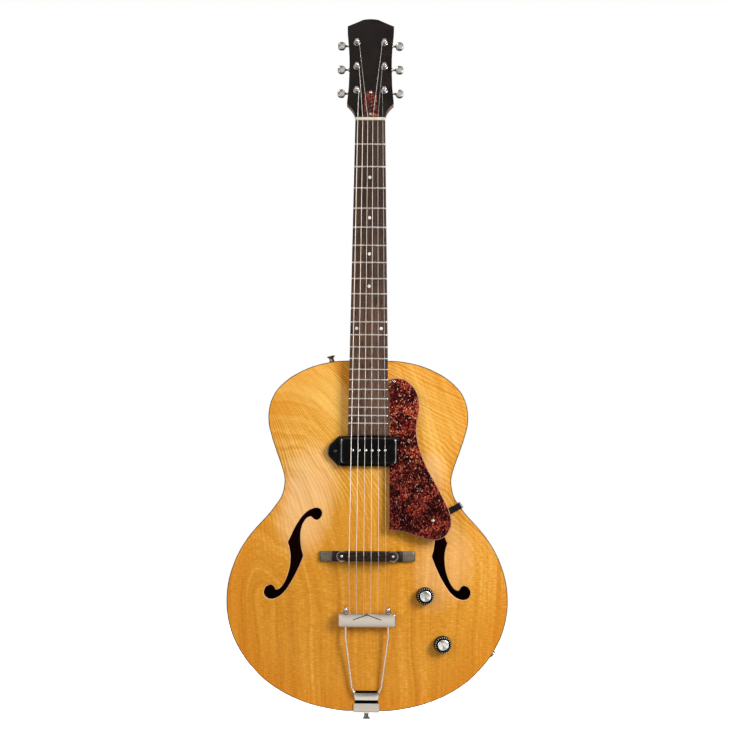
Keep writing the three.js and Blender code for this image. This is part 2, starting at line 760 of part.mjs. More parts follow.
// Fingerboard, in the tilted frame of the neck: y is depth, z is up the neck.
const neckFrame = neckAngle("neck_frame", neckGroup);
const FACET = 0.45;
function boardSection(s, inset0, lift, bottom) {
  const h = boardHalf(s) - inset0;
  const z = -s;
  return [
    V(-h, boardDrop(h) - lift, z),
    V(-h * FACET, boardDrop(h * FACET) - lift, z),
    V(h * FACET, boardDrop(h * FACET) - lift, z),
    V(h, boardDrop(h) - lift, z),
    V(h, bottom, z),
    V(-h, bottom, z),
  ];
}
const slots = [];
for (let n = 1; n <= FRET_COUNT; n++) {
  const s = fretAt(n);
  slots.push(box(-4, 4, -1, BOARD_THICKNESS + 1, -s - 0.55, -s + 0.55));
}
const spineGroove = box(-2.2, 2.2, 4.4, BOARD_THICKNESS + 1, -fretAt(FRET_COUNT) - 2, -fretAt(1) + 2);
const fingerboard = cut(
  loft([boardSection(0.15, 0, 0, BOARD_THICKNESS), boardSection(BOARD_LENGTH, 0, 0, BOARD_THICKNESS)]),
  spineGroove,
  ...slots,
);
mesh("fingerboard", fingerboard, "rosewood", neckFrame);

// Frets: crowns with centre tangs that meet a thin spine under the board.
const crowns = [];
for (let n = 1; n <= FRET_COUNT; n++) {
  const s = fretAt(n);
  const base = boardSection(s, 0.2, 0.12, 0).slice(0, 4);
  const topLine = boardSection(s, 0.9, 1.15, 0).slice(0, 4);
  const rings = base.map((p, i) => {
    const q = topLine[i];
    return [V(p.x, p.y, p.z - 1.1), V(q.x, q.y, q.z), V(p.x, p.y, p.z + 1.1)];
  });
  crowns.push(loft(rings));
  crowns.push(box(-3.7, 3.7, -0.7, 5.6, -s - 0.25, -s + 0.25));
}
const spine = box(-1.6, 1.6, 4.9, 5.9, -fretAt(FRET_COUNT) - 1, -fretAt(1) + 1);
mesh("frets", join(spine, ...crowns), "nickel", neckFrame);

mesh(
  "nut",
  loft([
    [V(-NUT_WIDTH / 2, 6.2, 0), V(-NUT_WIDTH / 2, -0.4, 0), V(-NUT_WIDTH / 2, -0.9, 3.2), V(-NUT_WIDTH / 2, 1.2, 4.7), V(-NUT_WIDTH / 2, 6.2, 4.7)],
    [V(-9, 6.2, 0), V(-9, -1, 0), V(-9, -1.5, 3.2), V(-9, 0.6, 4.7), V(-9, 6.2, 4.7)],
    [V(9, 6.2, 0), V(9, -1, 0), V(9, -1.5, 3.2), V(9, 0.6, 4.7), V(9, 6.2, 4.7)],
    [V(NUT_WIDTH / 2, 6.2, 0), V(NUT_WIDTH / 2, -0.4, 0), V(NUT_WIDTH / 2, -0.9, 3.2), V(NUT_WIDTH / 2, 1.2, 4.7), V(NUT_WIDTH / 2, 6.2, 4.7)],
  ]),
  "bone",
  neckFrame,
);

const trussRod = join(
  disc(2.5, -19, 400, 8, V(0, 10.3, 0), V(0, 0, -1)),
  disc(4, -16.4, -9.6, 6, V(0, 10.3, 0), V(0, 0, -1)),
);
mesh("truss_rod", trussRod, "steel", neckFrame);

// ================================================================= headstock
const head = headAngle("headstock_frame", neckGroup);
const coverPocket = box(-6.8, 6.8, -4, 11, 2, 30);
const veneerHoles = [-1, 1].flatMap((side) =>
  POST_V.map((v) => disc(POST_RADIUS + 0.5, -5, 5, 10, V(side * POST_X, 0, v), V(0, 1, 0))),
);
mesh(
  "headstock_veneer",
  cut(prism(headShape, 0, VENEER_THICKNESS), coverPocket, ...veneerHoles),
  "veneer",
  head,
);
const coverShape = [[-10.6, 1], [10.6, 1], [9.9, 16], [9, 32], [7.6, 38], [4.6, 42.3], [0, 44], [-4.6, 42.3], [-7.6, 38], [-9, 32], [-9.9, 16]];
mesh("truss_rod_cover", prism(coverShape, -2.5, -0.2), "tortoise", head);

// ==================================================================== tuners
const TUNERS = [
  [1, 1, 0], [2, 1, 1], [3, 1, 2], [4, -1, 2], [5, -1, 1], [6, -1, 0],
];
const BACK_OF_HEAD = HEAD_THICKNESS + 0.2;
for (const [string, side, row] of TUNERS) {
  const g = group(`tuner_${string}`, head);
  g.position.set(side * POST_X, 0, POST_V[row]);
  if (side < 0) g.rotation.y = Math.PI; // the bass side is the treble side turned round
  const up = side > 0 ? 1 : -1; // the worm stays on the tip side of the post
  // In a turned group local x and z both change sign, so z is built with `up`.
  const z = (a, b) => (up > 0 ? [a, b] : [-b, -a]);
  const can = (x0, x1, y0, y1, a, b) => {
    const [z0, z1] = z(a, b);
    return box(x0, x1, y0, y1, z0, z1);
  };
  const wormZ = up * KEY_RISE;
  const chamfered = loft([
    [V(-8.6, BACK_OF_HEAD, up * -8.2), V(10, BACK_OF_HEAD, up * -8.2), V(10, BACK_OF_HEAD, up * 11.6), V(-8.6, BACK_OF_HEAD, up * 11.6)],
    [V(-8.6, 25.6, up * -8.2), V(10, 25.6, up * -8.2), V(10, 25.6, up * 11.6), V(-8.6, 25.6, up * 11.6)],
    [V(-7, 27.4, up * -6.6), V(8.6, 27.4, up * -6.6), V(8.6, 27.4, up * 10), V(-7, 27.4, up * 10)],
  ]);
  const housing = cut(
    join(chamfered, can(-4, 5, BACK_OF_HEAD, BACK_OF_HEAD + 1.2, -12.5, 15.9)),
    can(-7.2, 8.6, BACK_OF_HEAD - 1, 25, -6.8, 10.2),
    disc(2.5, 0, 20, 10, V(0, KEY_DEPTH, wormZ), V(1, 0, 0)),
    disc(1.5, -5, 5, 6, V(0.5, BACK_OF_HEAD, up * -10.4), V(0, 1, 0)),
    disc(1.5, -5, 5, 6, V(0.5, BACK_OF_HEAD, up * 13.8), V(0, 1, 0)),
  );
  mesh(`tuner_housing_${string}`, housing, "nickel", g);
  mesh(
    `tuner_post_${string}`,
    turned(
      [[0, -POST_HEIGHT], [POST_RADIUS, -8.6], [2.4, -5.4], [POST_RADIUS, -2.2], [POST_RADIUS, 18.6], [3.5, 18.6], [3.5, 24.2], [0, 24.2]],
      10,
    ),
    "nickel",
    g,
  );
  const button = new THREE.SphereGeometry(1, 10, 6);
  button.scale(5.8, 3.3, 6.2).translate(BUTTON_OUT, KEY_DEPTH, wormZ);
  mesh(
    `tuner_key_${string}`,
    join(
      disc(1.8, -6.6, 18, 8, V(0, KEY_DEPTH, wormZ), V(1, 0, 0)),
      solid(button),
    ),
    "nickel",
    g,
  );
}

// ==================================================================== bridge
const electrics = group("pickup_and_controls");
const bridge = group("bridge");
bridge.position.set(0, 0, SADDLE_Z);
const bridgeY = frontY(0, SADDLE_Z);
const baseStations = [
  [-68.5, 5.9, 3.4], [-64.8, 7, 5.2], [-50, 7.2, 5.4], [-46.5, 7.2, 0],
  [-24, 7.2, 0], [-21, 7.2, 0], [0, 7.2, 0], [21, 7.2, 0], [24, 7.2, 0], [46.5, 7.2, 0],
  [50, 7.2, 5.4], [64.8, 7, 5.2], [68.5, 5.9, 3.4],
];
const BASE_TOP = -36.6;
const base = loft(
  baseStations.map(([x, half, height]) => {
    const low = Math.min(
      frontY(x, SADDLE_Z - half),
      frontY(x, SADDLE_Z),
      frontY(x, SADDLE_Z + half),
    ) - 0.3 - (Math.abs(x) < 22 ? 2.2 : 0);
    const top = height ? low - height : BASE_TOP;
    return [V(x, low, -half), V(x, top, -half), V(x, top, half), V(x, low, half)];
  }),
);
const studHole = (x, r, y0, y1) => disc(r, y0, y1, 12, V(x, 0, 0), V(0, 1, 0));
mesh(
  "bridge_base",
  cut(base, studHole(-STUD_X, 2.3, -45, -31), studHole(STUD_X, 2.3, -45, -31)),
  "rosewood",
  bridge,
);
for (const [name, x] of [["bass", -STUD_X], ["treble", STUD_X]]) {
  mesh(`bridge_stud_${name}`, disc(2, -48.4, -31.4, 12, V(x, 0, 0), V(0, 1, 0)), "nickel", bridge);
  mesh(`thumbwheel_${name}`, tubeRing(8, 2.3, -42.9, -39.9, 16, V(x, 0, 0), V(0, 1, 0)), "nickel", bridge);
}
const saddleStations = [
  [-42.3, 3.4, -46.8], [-41.2, 4.6, -47.4], [-39, 5.6, -47.7], [-31.5, 5.7, -47.8], [-29.6, 5.7, SADDLE_TOP_Y + 0.6],
  [0, 5.7, SADDLE_TOP_Y], [29.6, 5.7, SADDLE_TOP_Y + 0.6], [31.5, 5.7, -47.8], [39, 5.6, -47.7], [41.2, 4.6, -47.4], [42.3, 3.4, -46.8],
];
const saddleBody = loft(
  saddleStations.map(([x, half, top]) => [
    V(x, -43.2, -half),
    V(x, top + 1.6, -half),
    V(x, top, -half + 3.2),
    V(x, top, half - 3.2),
    V(x, top + 1.6, half),
    V(x, -43.2, half),
  ]),
);
mesh(
  "bridge_saddle",
  cut(saddleBody, studHole(-STUD_X, 2.3, -60, -40), studHole(STUD_X, 2.3, -60, -40)),
  "rosewood",
  bridge,
);

// =================================================================== strings
const stringsGroup = group("strings");
const saddleArc = (x) => {
  const u = Math.min(1, Math.abs(x) / 29.6);
  return STRING_Y_SADDLE + 0.6 * u;
};
const slope = (BAR_Y - STRING_Y_SADDLE) / (BAR_Z - SADDLE_Z);
for (const [string, side, row] of TUNERS) {
  const r = STRING_RADII[string - 1];
  const k = (string - 3.5) / -2.5; // +1 at the first string, -1 at the sixth
  const xNut = (k * STRING_SPREAD_NUT) / 2;
  const xSaddle = (k * STRING_SPREAD_SADDLE) / 2;
  const nutTop = onNeck(xNut, -1.5 - 0.35 - r + (Math.abs(xNut) > 9 ? ((Math.abs(xNut) - 9) / 12.8) * 0.6 : 0), -3.0);
  const postEnd = onHead(side * (POST_X - POST_RADIUS - 0.5 - r), -5.4, POST_V[row] - 2);
  const over = V(xSaddle, saddleArc(xSaddle) - r, SADDLE_Z);
  const barFace = V(xSaddle * 0.957, BAR_Y + slope * 11.7, BAR_Z + 11.7);
  mesh(`string_${string}`, rod([postEnd, nutTop, over, barFace], r, 6, V(0, -1, 0.1)), string > 3 ? "bronze" : "steel", stringsGroup);
}

// =================================================================== pickup
const pickup = group("pickup", electrics);
pickup.position.set(PICKUP_AT_X, 0, PICKUP_Z);
const earBase = Math.min(frontY(0, PICKUP_Z), frontY(0, PICKUP_Z - PICKUP_HALF_Z)) - 0.6;
function coverShell(d, lower, upper) {
  const ex = PICKUP_EAR_X - d * 1.4;
  const hx = PICKUP_HALF_X - d;
  const hz = PICKUP_HALF_Z - d;
  const ears = prism(
    [[ex, -3], [ex, 3], [ex - 2.4, 7.9], [hx, hz], [-hx, hz], [2.4 - ex, 7.9], [-ex, 3], [-ex, -3], [2.4 - ex, -7.9], [-hx, -hz], [hx, -hz], [ex - 2.4, -7.9]],
    earBase - 5.2 + upper,
    earBase + lower,
  );
  const block = loft([
    [V(-hx, earBase + lower, -hz), V(hx, earBase + lower, -hz), V(hx, earBase + lower, hz), V(-hx, earBase + lower, hz)],
    [V(-hx, PICKUP_TOP_Y + 2.4 + upper, -hz), V(hx, PICKUP_TOP_Y + 2.4 + upper, -hz), V(hx, PICKUP_TOP_Y + 2.4 + upper, hz), V(-hx, PICKUP_TOP_Y + 2.4 + upper, hz)],
    [V(-hx + 1.8, PICKUP_TOP_Y + upper, -hz + 1.8), V(hx - 1.8, PICKUP_TOP_Y + upper, -hz + 1.8), V(hx - 1.8, PICKUP_TOP_Y + upper, hz - 1.8), V(-hx + 1.8, PICKUP_TOP_Y + upper, hz - 1.8)],
  ]);
  return join(ears, block);
}
const POLE_STEP = 9.3;
const POLE_Z = 1;
const poles = [-2.5, -1.5, -0.5, 0.5, 1.5, 2.5].map((k) => k * POLE_STEP);
mesh(
  "pickup_cover",
  cut(
    coverShell(0, 0, 0),
    coverShell(1.6, 3, 1.6),
    ...poles.map((x) => disc(2.9, PICKUP_TOP_Y - 4, PICKUP_TOP_Y + 5, 8, V(x, 0, POLE_Z), V(0, 1, 0))),
  ),
  "black",
  pickup,
);
mesh(
  "pickup_coil",
  join(
    box(-39.6, 39.6, -37, -34.6, -17.4, 17.4),
    box(-36, 36, -35, -22, -13, 13),
    box(-39.6, 39.6, -22.4, -12, -17.4, 17.4),
    ...poles.map((x) => disc(2.4, PICKUP_TOP_Y - 0.5, -30, 8, V(x, 0, POLE_Z), V(0, 1, 0))),
  ),
  "black",
  pickup,
);

// ================================================================= pickguard
const GUARD_FRONT = 1.5; // behind the fingerboard's crown line
const GUARD_THICKNESS = 2.4;
mesh(
  "pickguard",
  prism(GUARD_OUTLINE.map(([x, s]) => [x, -s]), GUARD_FRONT, GUARD_FRONT + GUARD_THICKNESS),
  "tortoise",
  neckFrame,
);
const underGuard = (x, s, d = 0) => onNeck(x, GUARD_FRONT + GUARD_THICKNESS + 0.3 + d, s);
const foot = guardFootAt.clone().addScaledVector(GUARD_FOOT.out, 0.4);
// A flat strap: out from under the pickguard, over the edge and down the side.
const STRAP_HALF = 4.5;
const STRAP_THIN = 0.9; // half the thickness
const strapDir = V(Math.cos(28.5 * DEG), 0, Math.sin(28.5 * DEG));
const strapSide = V(-strapDir.z, 0, strapDir.x);
const footSide = V(-GUARD_FOOT.out.z, 0, GUARD_FOOT.out.x);
const besideFoot = (out, y) => foot.clone().addScaledVector(GUARD_FOOT.out, out).setY(y);
const inner = underGuard(94.4, 579.6, STRAP_THIN);
const outerY = underGuard(131, 559.4, STRAP_THIN).y;
const strapPath = [
  inner,
  besideFoot(-0.2, outerY),
  besideFoot(1.3, outerY + 1.6),
  besideFoot(1.3, -28),
  besideFoot(STRAP_THIN, -9),
  besideFoot(STRAP_THIN, 14),
];
const strapFaces = strapPath.slice(1).map((p, i) => {
  const t = p.clone().sub(strapPath[i]).normalize();
  const side = i ? footSide : strapSide;
  return t.clone().cross(side).normalize();
});
const strapRings = strapPath.map((p, i) => {
  const a = strapFaces[Math.max(0, i - 1)];
  const b = strapFaces[Math.min(strapFaces.length - 1, i)];
  const n = a.clone().add(b).multiplyScalar(STRAP_THIN / (1 + a.dot(b)));
  const side = i === 0 ? strapSide : i === 1 ? strapSide.clone().add(footSide).normalize() : footSide;
  return [[-1, -1], [1, -1], [1, 1], [-1, 1]].map(([u, v]) =>
    p.clone().addScaledVector(side, u * STRAP_HALF).addScaledVector(n, v),
  );
});
mesh("pickguard_bracket", loft(strapRings), "black", neckGroup);

// ================================================================= tailpiece
const tail = group("tailpiece");
tail.position.set(0, HINGE_Y, HINGE_Z);
// In this group y and z are measured from the hinge pin.
const barLocal = V(0, BAR_Y - HINGE_Y, BAR_Z - HINGE_Z);
const barUp = barLocal.clone().normalize(); // along the rods towards the bridge
const barOut = V(0, -barUp.z, barUp.y); // out of the bar's front face
const HINGE_HALF = 16;
const along = (x, a, d) => V(x, 0, 0).addScaledVector(barUp, a).addScaledVector(barOut, d);
const BAR_ALONG = barLocal.length();
const ROD_RADIUS = 1.7;
// Bent frame: threaded ends, long sides, and the bottom run that is the pin.
const frameBar = rod(
  [
    along(-ROD_X, BAR_ALONG + 16.5, 0),
    along(-ROD_X, BAR_ALONG - 25.5, 0),
    along(-20.9, 6, 0),
    along(-18.4, 0, 0),
    along(18.4, 0, 0),
    along(20.9, 6, 0),
    along(ROD_X, BAR_ALONG - 25.5, 0),
    along(ROD_X, BAR_ALONG + 16.5, 0),
  ],
  ROD_RADIUS,
  8,
  V(0.02, barOut.y, barOut.z),
);
mesh("tailpiece_frame", frameBar, "nickel", tail);
const barBlock = loft([
  [along(-41.5, BAR_ALONG - 9.6, -2.4), along(-41.5, BAR_ALONG - 9, 2.4), along(-41.5, BAR_ALONG + 10.3, 2.4), along(-41.5, BAR_ALONG + 10.9, -2.4)],
  [along(-39.7, BAR_ALONG - 9.8, -3.4), along(-39.7, BAR_ALONG - 8.6, 3.2), along(-39.7, BAR_ALONG + 9.9, 3.2), along(-39.7, BAR_ALONG + 11.1, -3.4)],
  [along(39.7, BAR_ALONG - 9.8, -3.4), along(39.7, BAR_ALONG - 8.6, 3.2), along(39.7, BAR_ALONG + 9.9, 3.2), along(39.7, BAR_ALONG + 11.1, -3.4)],
  [along(41.5, BAR_ALONG - 9.6, -2.4), along(41.5, BAR_ALONG - 9, 2.4), along(41.5, BAR_ALONG + 10.3, 2.4), along(41.5, BAR_ALONG + 10.9, -2.4)],
]);
const rodHoles = [-ROD_X, ROD_X].map((x) =>
  disc(ROD_RADIUS + 0.35, -14, 14, 8, along(x, BAR_ALONG, 0), barUp),
);
const capNuts = [-ROD_X, ROD_X].map((x) =>
  cut(
    turned([[0, 10.2], [3.4, 10.2], [4.1, 12.2], [4.1, 16.2], [3.4, 18.8], [1.6, 20.4], [0, 20.8]], 10, along(x, BAR_ALONG, 0), barUp),
    disc(ROD_RADIUS + 0.35, 8, 18.4, 8, along(x, BAR_ALONG, 0), barUp),
  ),
);
mesh("tailpiece_crossbar", join(cut(barBlock, ...rodHoles), ...capNuts), "nickel", tail);

// Bracket: plate over the tail edge, down the end, with two hinge leaves.
const bracketY = (z) => frontY(0, z) - 0.4;
const plateZ = [-836.5, -846, -853.4];
const overTop = loft(
  plateZ.map((z, i) => {
    const y = i === 2 ? RIM_FRONT - 0.5 : bracketY(z);
    const h = 16.6 + i * 1.2;
    return [V(-h, y, z), V(h, y, z), V(h, y - 1.8, z), V(-h, y - 1.8, z)];
  }),
);
const downEnd = box(-19, 19, RIM_FRONT - 2.3, 33, -856.4, -854.4);
const corner = box(-19, 19, RIM_FRONT - 2.3, RIM_FRONT - 0.5, -856.4, -853.2);
const knuckle = cut(
  join(
    tubeRing(4, ROD_RADIUS + 0.3, -HINGE_HALF, HINGE_HALF, 12, V(0, HINGE_Y, HINGE_Z), V(1, 0, 0)),
    loft([
      [V(-HINGE_HALF, HINGE_Y - 3.6, HINGE_Z - 1.8), V(HINGE_HALF, HINGE_Y - 3.6, HINGE_Z - 1.8), V(HINGE_HALF, HINGE_Y + 1.2, HINGE_Z - 3.4), V(-HINGE_HALF, HINGE_Y + 1.2, HINGE_Z - 3.4)],
      [V(-16.6, bracketY(-837) - 1.8, -837.5), V(16.6, bracketY(-837) - 1.8, -837.5), V(16.6, bracketY(-837), -837.5), V(-16.6, bracketY(-837), -837.5)],
    ]),
  ),
  disc(ROD_RADIUS + 0.3, -30, 30, 12, V(0, HINGE_Y, HINGE_Z), V(1, 0, 0)),
);
const tailStrap = cut(
  join(overTop, corner, downEnd, knuckle),
  disc(3.2, -20, 20, 12, tailAt, V(0, 0, 1)),
);
const tailRoot = group("tailpiece_mounting");
mesh("tailpiece_bracket", tailStrap, "nickel", tailRoot);

// ============================================================= strap buttons
// A group whose local y points out of the surface at a place on the rim.
function facing(name, at, out, parent) {
  const g = group(name, parent);
  g.position.copy(at);
  g.quaternion.setFromUnitVectors(V(0, 1, 0), out);
  return g;
}
const ORIGIN = V(0, 0, 0);
const UP_Y = V(0, 1, 0);
function strapButton(stand) {
  return join(
    turned(
      [[0, stand], [5.6, stand], [6, stand + 0.8], [4, stand + 2.6], [3.2, stand + 5.4], [3.6, stand + 8.2], [6, stand + 10], [5.6, stand + 11.4], [0, stand + 11.4]],
      12,
    ),
    disc(1.9, -9, stand + 1, 8, ORIGIN, UP_Y),
  );
}
mesh("strap_button_upper", strapButton(0.4), "nickel", facing("upper_button", strapAt, STRAP.out, tailRoot));
mesh("strap_button_tail", strapButton(2.8), "nickel", facing("tail_button", tailAt, V(0, 0, -1), tailRoot));

// =============================================================== output jack
const jackBody = cut(
  join(
    turned([[0, -24], [5, -24], [5, -5.8], [0, -5.8]], 12),
    turned([[0, -6], [5, -6], [5, 0.5], [10, 0.5], [10, 1.7], [6.4, 1.7], [6.4, 4], [4.8, 4], [4.8, 6], [0, 6]], 12),
    disc(8.6, -6.2, -3.2, 10, ORIGIN, UP_Y),
  ),
  disc(3.2, -22, 20, 12, ORIGIN, UP_Y),
);
mesh("output_jack", jackBody, "nickel", facing("jack_place", jackAt, JACK.out, electrics));

// ========================================================= controls and pots
for (const [name, [x, z]] of [["volume", VOLUME_KNOB], ["tone", TONE_KNOB]]) {
  const g = group(`${name}_control`, electrics);
  g.position.set(x, frontY(x, z), z);
  g.quaternion.setFromUnitVectors(V(0, 1, 0), frontNormal(x, z));
  // local y points out of the front
  const fluted = [];
  const flutes = 12;
  for (let i = 0; i < flutes * 2; i++) {
    const a = (i / (flutes * 2)) * 2 * Math.PI;
    const r = i % 2 ? 11.2 : 12.3;
    fluted.push([Math.cos(a) * r, Math.sin(a) * r]);
  }
  mesh(
    `${name}_knob`,
    cut(
      join(
        turned([[0, 3], [12.6, 3], [12.6, 4.6], [10.6, 5.2], [0, 5.2]], 20),
        prism(fluted, 5, 14),
        turned([[0, 13.6], [8.2, 13.6], [8, 15.2], [6.5, 15.9], [0, 15.9]], 14),
        disc(2.9, -9.4, 4, 10, V(0, 0, 0), V(0, 1, 0)),
      ),
      disc(8.8, 2, 4.2, 16, V(0, 0, 0), V(0, 1, 0)).subtract(disc(2.8, 1, 5, 10, V(0, 0, 0), V(0, 1, 0))),
    ),
    "black",
    g,
  );
  mesh(
    `${name}_pot`,
    cut(
      join(
        tubeRing(4.4, 3.3, -6.5, 2.2, 12, V(0, 0, 0), V(0, 1, 0)),
        tubeRing(7.6, 3.3, 0.8, 2.2, 6, V(0, 0, 0), V(0, 1, 0)),
        disc(12, -18, -6, 16, V(0, 0, 0), V(0, 1, 0)),
      ),
      disc(3.3, -10, 6, 12, V(0, 0, 0), V(0, 1, 0)),
    ),
    "steel",
    g,
  );
}

export default parts;
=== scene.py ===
# Looks of an archtop guitar: finer meshes and procedural finishes around the
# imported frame. Shapes are worked out in millimetres and stored in metres.
import math
import bmesh
import bpy
import numpy as np
from mathutils import Matrix, Vector
from mathutils.geometry import delaunay_2d_cdt


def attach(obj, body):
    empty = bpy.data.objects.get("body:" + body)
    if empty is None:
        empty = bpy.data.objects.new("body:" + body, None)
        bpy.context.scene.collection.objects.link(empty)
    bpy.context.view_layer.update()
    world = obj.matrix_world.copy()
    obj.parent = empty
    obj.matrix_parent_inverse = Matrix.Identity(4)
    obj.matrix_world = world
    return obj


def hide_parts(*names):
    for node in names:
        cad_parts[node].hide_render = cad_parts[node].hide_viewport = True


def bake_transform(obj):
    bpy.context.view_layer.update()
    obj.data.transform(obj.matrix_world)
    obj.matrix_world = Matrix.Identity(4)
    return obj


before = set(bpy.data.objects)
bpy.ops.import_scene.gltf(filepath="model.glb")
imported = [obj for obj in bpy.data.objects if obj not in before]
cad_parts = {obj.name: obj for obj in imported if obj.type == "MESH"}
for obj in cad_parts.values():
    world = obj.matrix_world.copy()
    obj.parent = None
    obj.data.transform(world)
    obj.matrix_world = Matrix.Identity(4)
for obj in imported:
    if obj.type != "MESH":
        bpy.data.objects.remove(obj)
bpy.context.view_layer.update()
D = math.pi / 180

# ------------------------------------------------------------------- camera
PITCH, ROLL = 3.5 * D, 0.38 * D
camera = bpy.data.objects.new("camera", bpy.data.cameras.new("camera"))
bpy.context.scene.collection.objects.link(camera)
camera.data.sensor_width = 36
camera.data.lens = 36 * 2179 / 735
camera.data.clip_start, camera.data.clip_end = 0.05, 60
look = Vector((0, math.cos(PITCH), math.sin(PITCH)))
up0 = Vector((0, -math.sin(PITCH), math.cos(PITCH)))
side0 = Vector((1, 0, 0))
right = side0 * math.cos(ROLL) + up0 * math.sin(ROLL)
upward = up0 * math.cos(ROLL) - side0 * math.sin(ROLL)
placing = Matrix((right, upward, -look)).transposed().to_4x4()
placing.translation = Vector((-0.00167, -3.1566, -0.5532))
camera.matrix_world = placing
bpy.context.scene.camera = camera

# -------------------------------------------------------------- dimensions, mm
SCALE_LENGTH, FRET_COUNT = 630.9, 21
NECK_TILT, HEAD_TILT = 3.5 * D, 15.5 * D
NUT_WIDTH, BOARD_LENGTH, BOARD_END_WIDTH = 43.6, 460.2, 58.6
BOARD_THICKNESS, BOARD_RADIUS, BOARD_FRONT = 6.5, 406.0, -10.5
RIM_FRONT, RIM_BACK, PLATE, ARCH_FRONT, ARCH_BACK = -15.1, 60.9, 4.0, 15.0, 14.0
CENTRE_Z = -600.0
HEAD_THICKNESS, VENEER = 14.0, 1.6
POST_X, POST_V, POST_R = 20.3, [43.1, 82.1, 121.1], 3.0
KEY_RISE, KEY_DEPTH, BUTTON_OUT = 5.6, 22.4, 22.6
SADDLE_Z, STUD_X, SADDLE_TOP, STRING_Y_SADDLE = -632.4, 36.5, -53.8, -54.4
SPREAD_NUT, SPREAD_SADDLE = 36.6, 52.4
STRING_R = [0.14, 0.18, 0.25, 0.36, 0.48, 0.62]
PICKUP_Z, PICKUP_X, PICKUP_H, EAR_X, PICKUP_TOP = -482.4, 43.4, 22.1, 59.6, -40.6
PICKUP_AT_X, POLE_Z = 1.2, 1.0
BAR_Z, BAR_Y, HINGE_Z, HINGE_Y, ROD_X = -723.8, -38.8, -826.4, -21.4, 30.3
VOLUME, TONE = (82.3, -688.3), (108.0, -757.3)

HALF_OUTLINE = [
  [0, -350.3], [28, -351.1], [45, -352], [63, -355], [80, -359.7], [97, -367],
  [114, -377], [124, -385.5], [133.8, -396.5], [138.4, -405.2],
  [141.6, -413.8], [143.3, -422.5], [144.1, -431], [143.8, -439.9],
  [142.6, -448.6], [140.1, -457.2], [137.8, -465.9], [134.7, -474.6],
  [131.9, -483.2], [128.6, -491.9], [125.6, -500.6], [122.8, -509.2],
  [120.6, -517.7], [119.9, -526], [120.9, -534.9], [122.9, -543.4],
  [126.9, -552.1], [133.3, -560.8], [139.5, -569.4], [147, -578],
  [155, -586.5], [162.6, -595.1], [169.6, -603.7], [175.6, -612.3],
  [181.1, -621], [185.6, -629.5], [189.6, -637.9], [192.8, -646.7],
  [195.8, -655.2], [198.1, -663.9], [199.9, -672.4], [201, -681],
  [201.6, -690], [201.8, -698.2], [201.4, -706.9], [200.6, -715.4],
  [199.2, -724.2], [197, -732.8], [194.5, -741.3], [191.3, -749.9],
  [187.2, -758.5], [182.5, -767.3], [177, -775.9], [170.8, -784.5],
  [163, -793.2], [155.1, -801.8], [145.5, -810.5], [133.6, -819.2],
  [120.7, -827.2], [103.6, -835.6], [86.4, -842.3], [68.8, -847.3],
  [51.2, -850.8], [34.1, -853.3], [17, -853.7], [0, -854],
]
SOUND_HOLE = [
  [-72.5, -563.7], [-80.5, -565.5], [-86.4, -568.6], [-92.3, -574],
  [-101.4, -586.6], [-107.8, -598.9], [-110.8, -605.8], [-114.4, -613.3],
  [-112.3, -619.9], [-110.6, -630.1], [-110.6, -641.1], [-112.7, -654.3],
  [-118.5, -669.8], [-122.8, -676.6], [-127.4, -680.5], [-131.1, -681.2],
  [-132.6, -678.7], [-137.5, -674.1], [-144.1, -676.3], [-148.1, -682.5],
  [-146.3, -690.7], [-138, -694.6], [-130.5, -692.7], [-125.1, -689.6],
  [-119.9, -684.8], [-109.2, -669.5], [-101.2, -654.4], [-95, -640.2],
  [-92.1, -632.4], [-94.9, -622.1], [-96.4, -610], [-96.3, -598.6],
  [-94.8, -590.9], [-90.1, -581.4], [-86.8, -577.8], [-83.3, -576.3],
  [-80.1, -576.6], [-77.8, -579.5], [-72.3, -581], [-67.7, -577.8],
  [-65.4, -572.1], [-67.1, -566.3],
]
HOLE_CORNERS = [7, 15, 28, 36]
HEAD_OUTLINE = [
  [21.7, 0.4], [23.8, 8.5], [28.6, 16.6], [34.2, 22.8], [34, 26],
  [33, 37.6], [32.1, 47.3], [31.6, 60], [31.2, 80], [31.3, 97],
  [32.2, 116], [33.4, 130.7], [34.3, 141], [34.3, 148.5], [18.3, 155.9],
  [11.2, 159.3], [0, 160.7],
]
GUARD_OUTLINE = [
  [28.5, 379.8], [41, 377.6], [50.6, 379.2], [58.8, 384.5], [66.3, 392.5],
  [71.2, 403.1], [73.2, 413.9], [72.6, 425.5], [70.9, 437.1], [69.2, 448.6],
  [70, 461.9], [75.6, 484.9], [85.5, 508.7], [98.7, 532.3], [110.2, 554.4],
  [115.3, 565], [118.7, 576.4], [119.5, 586.2], [116.8, 595.2],
  [111.8, 602.6], [105.3, 607.6], [97.2, 609.5], [87.4, 609], [76, 606.1],
  [54.7, 598.9], [43.2, 596.9], [30, 595.7],
]

# ------------------------------------------------------------- curve helpers
A = lambda *v: np.array(v, float)
unit = lambda v: np.asarray(v, float) / np.linalg.norm(v)


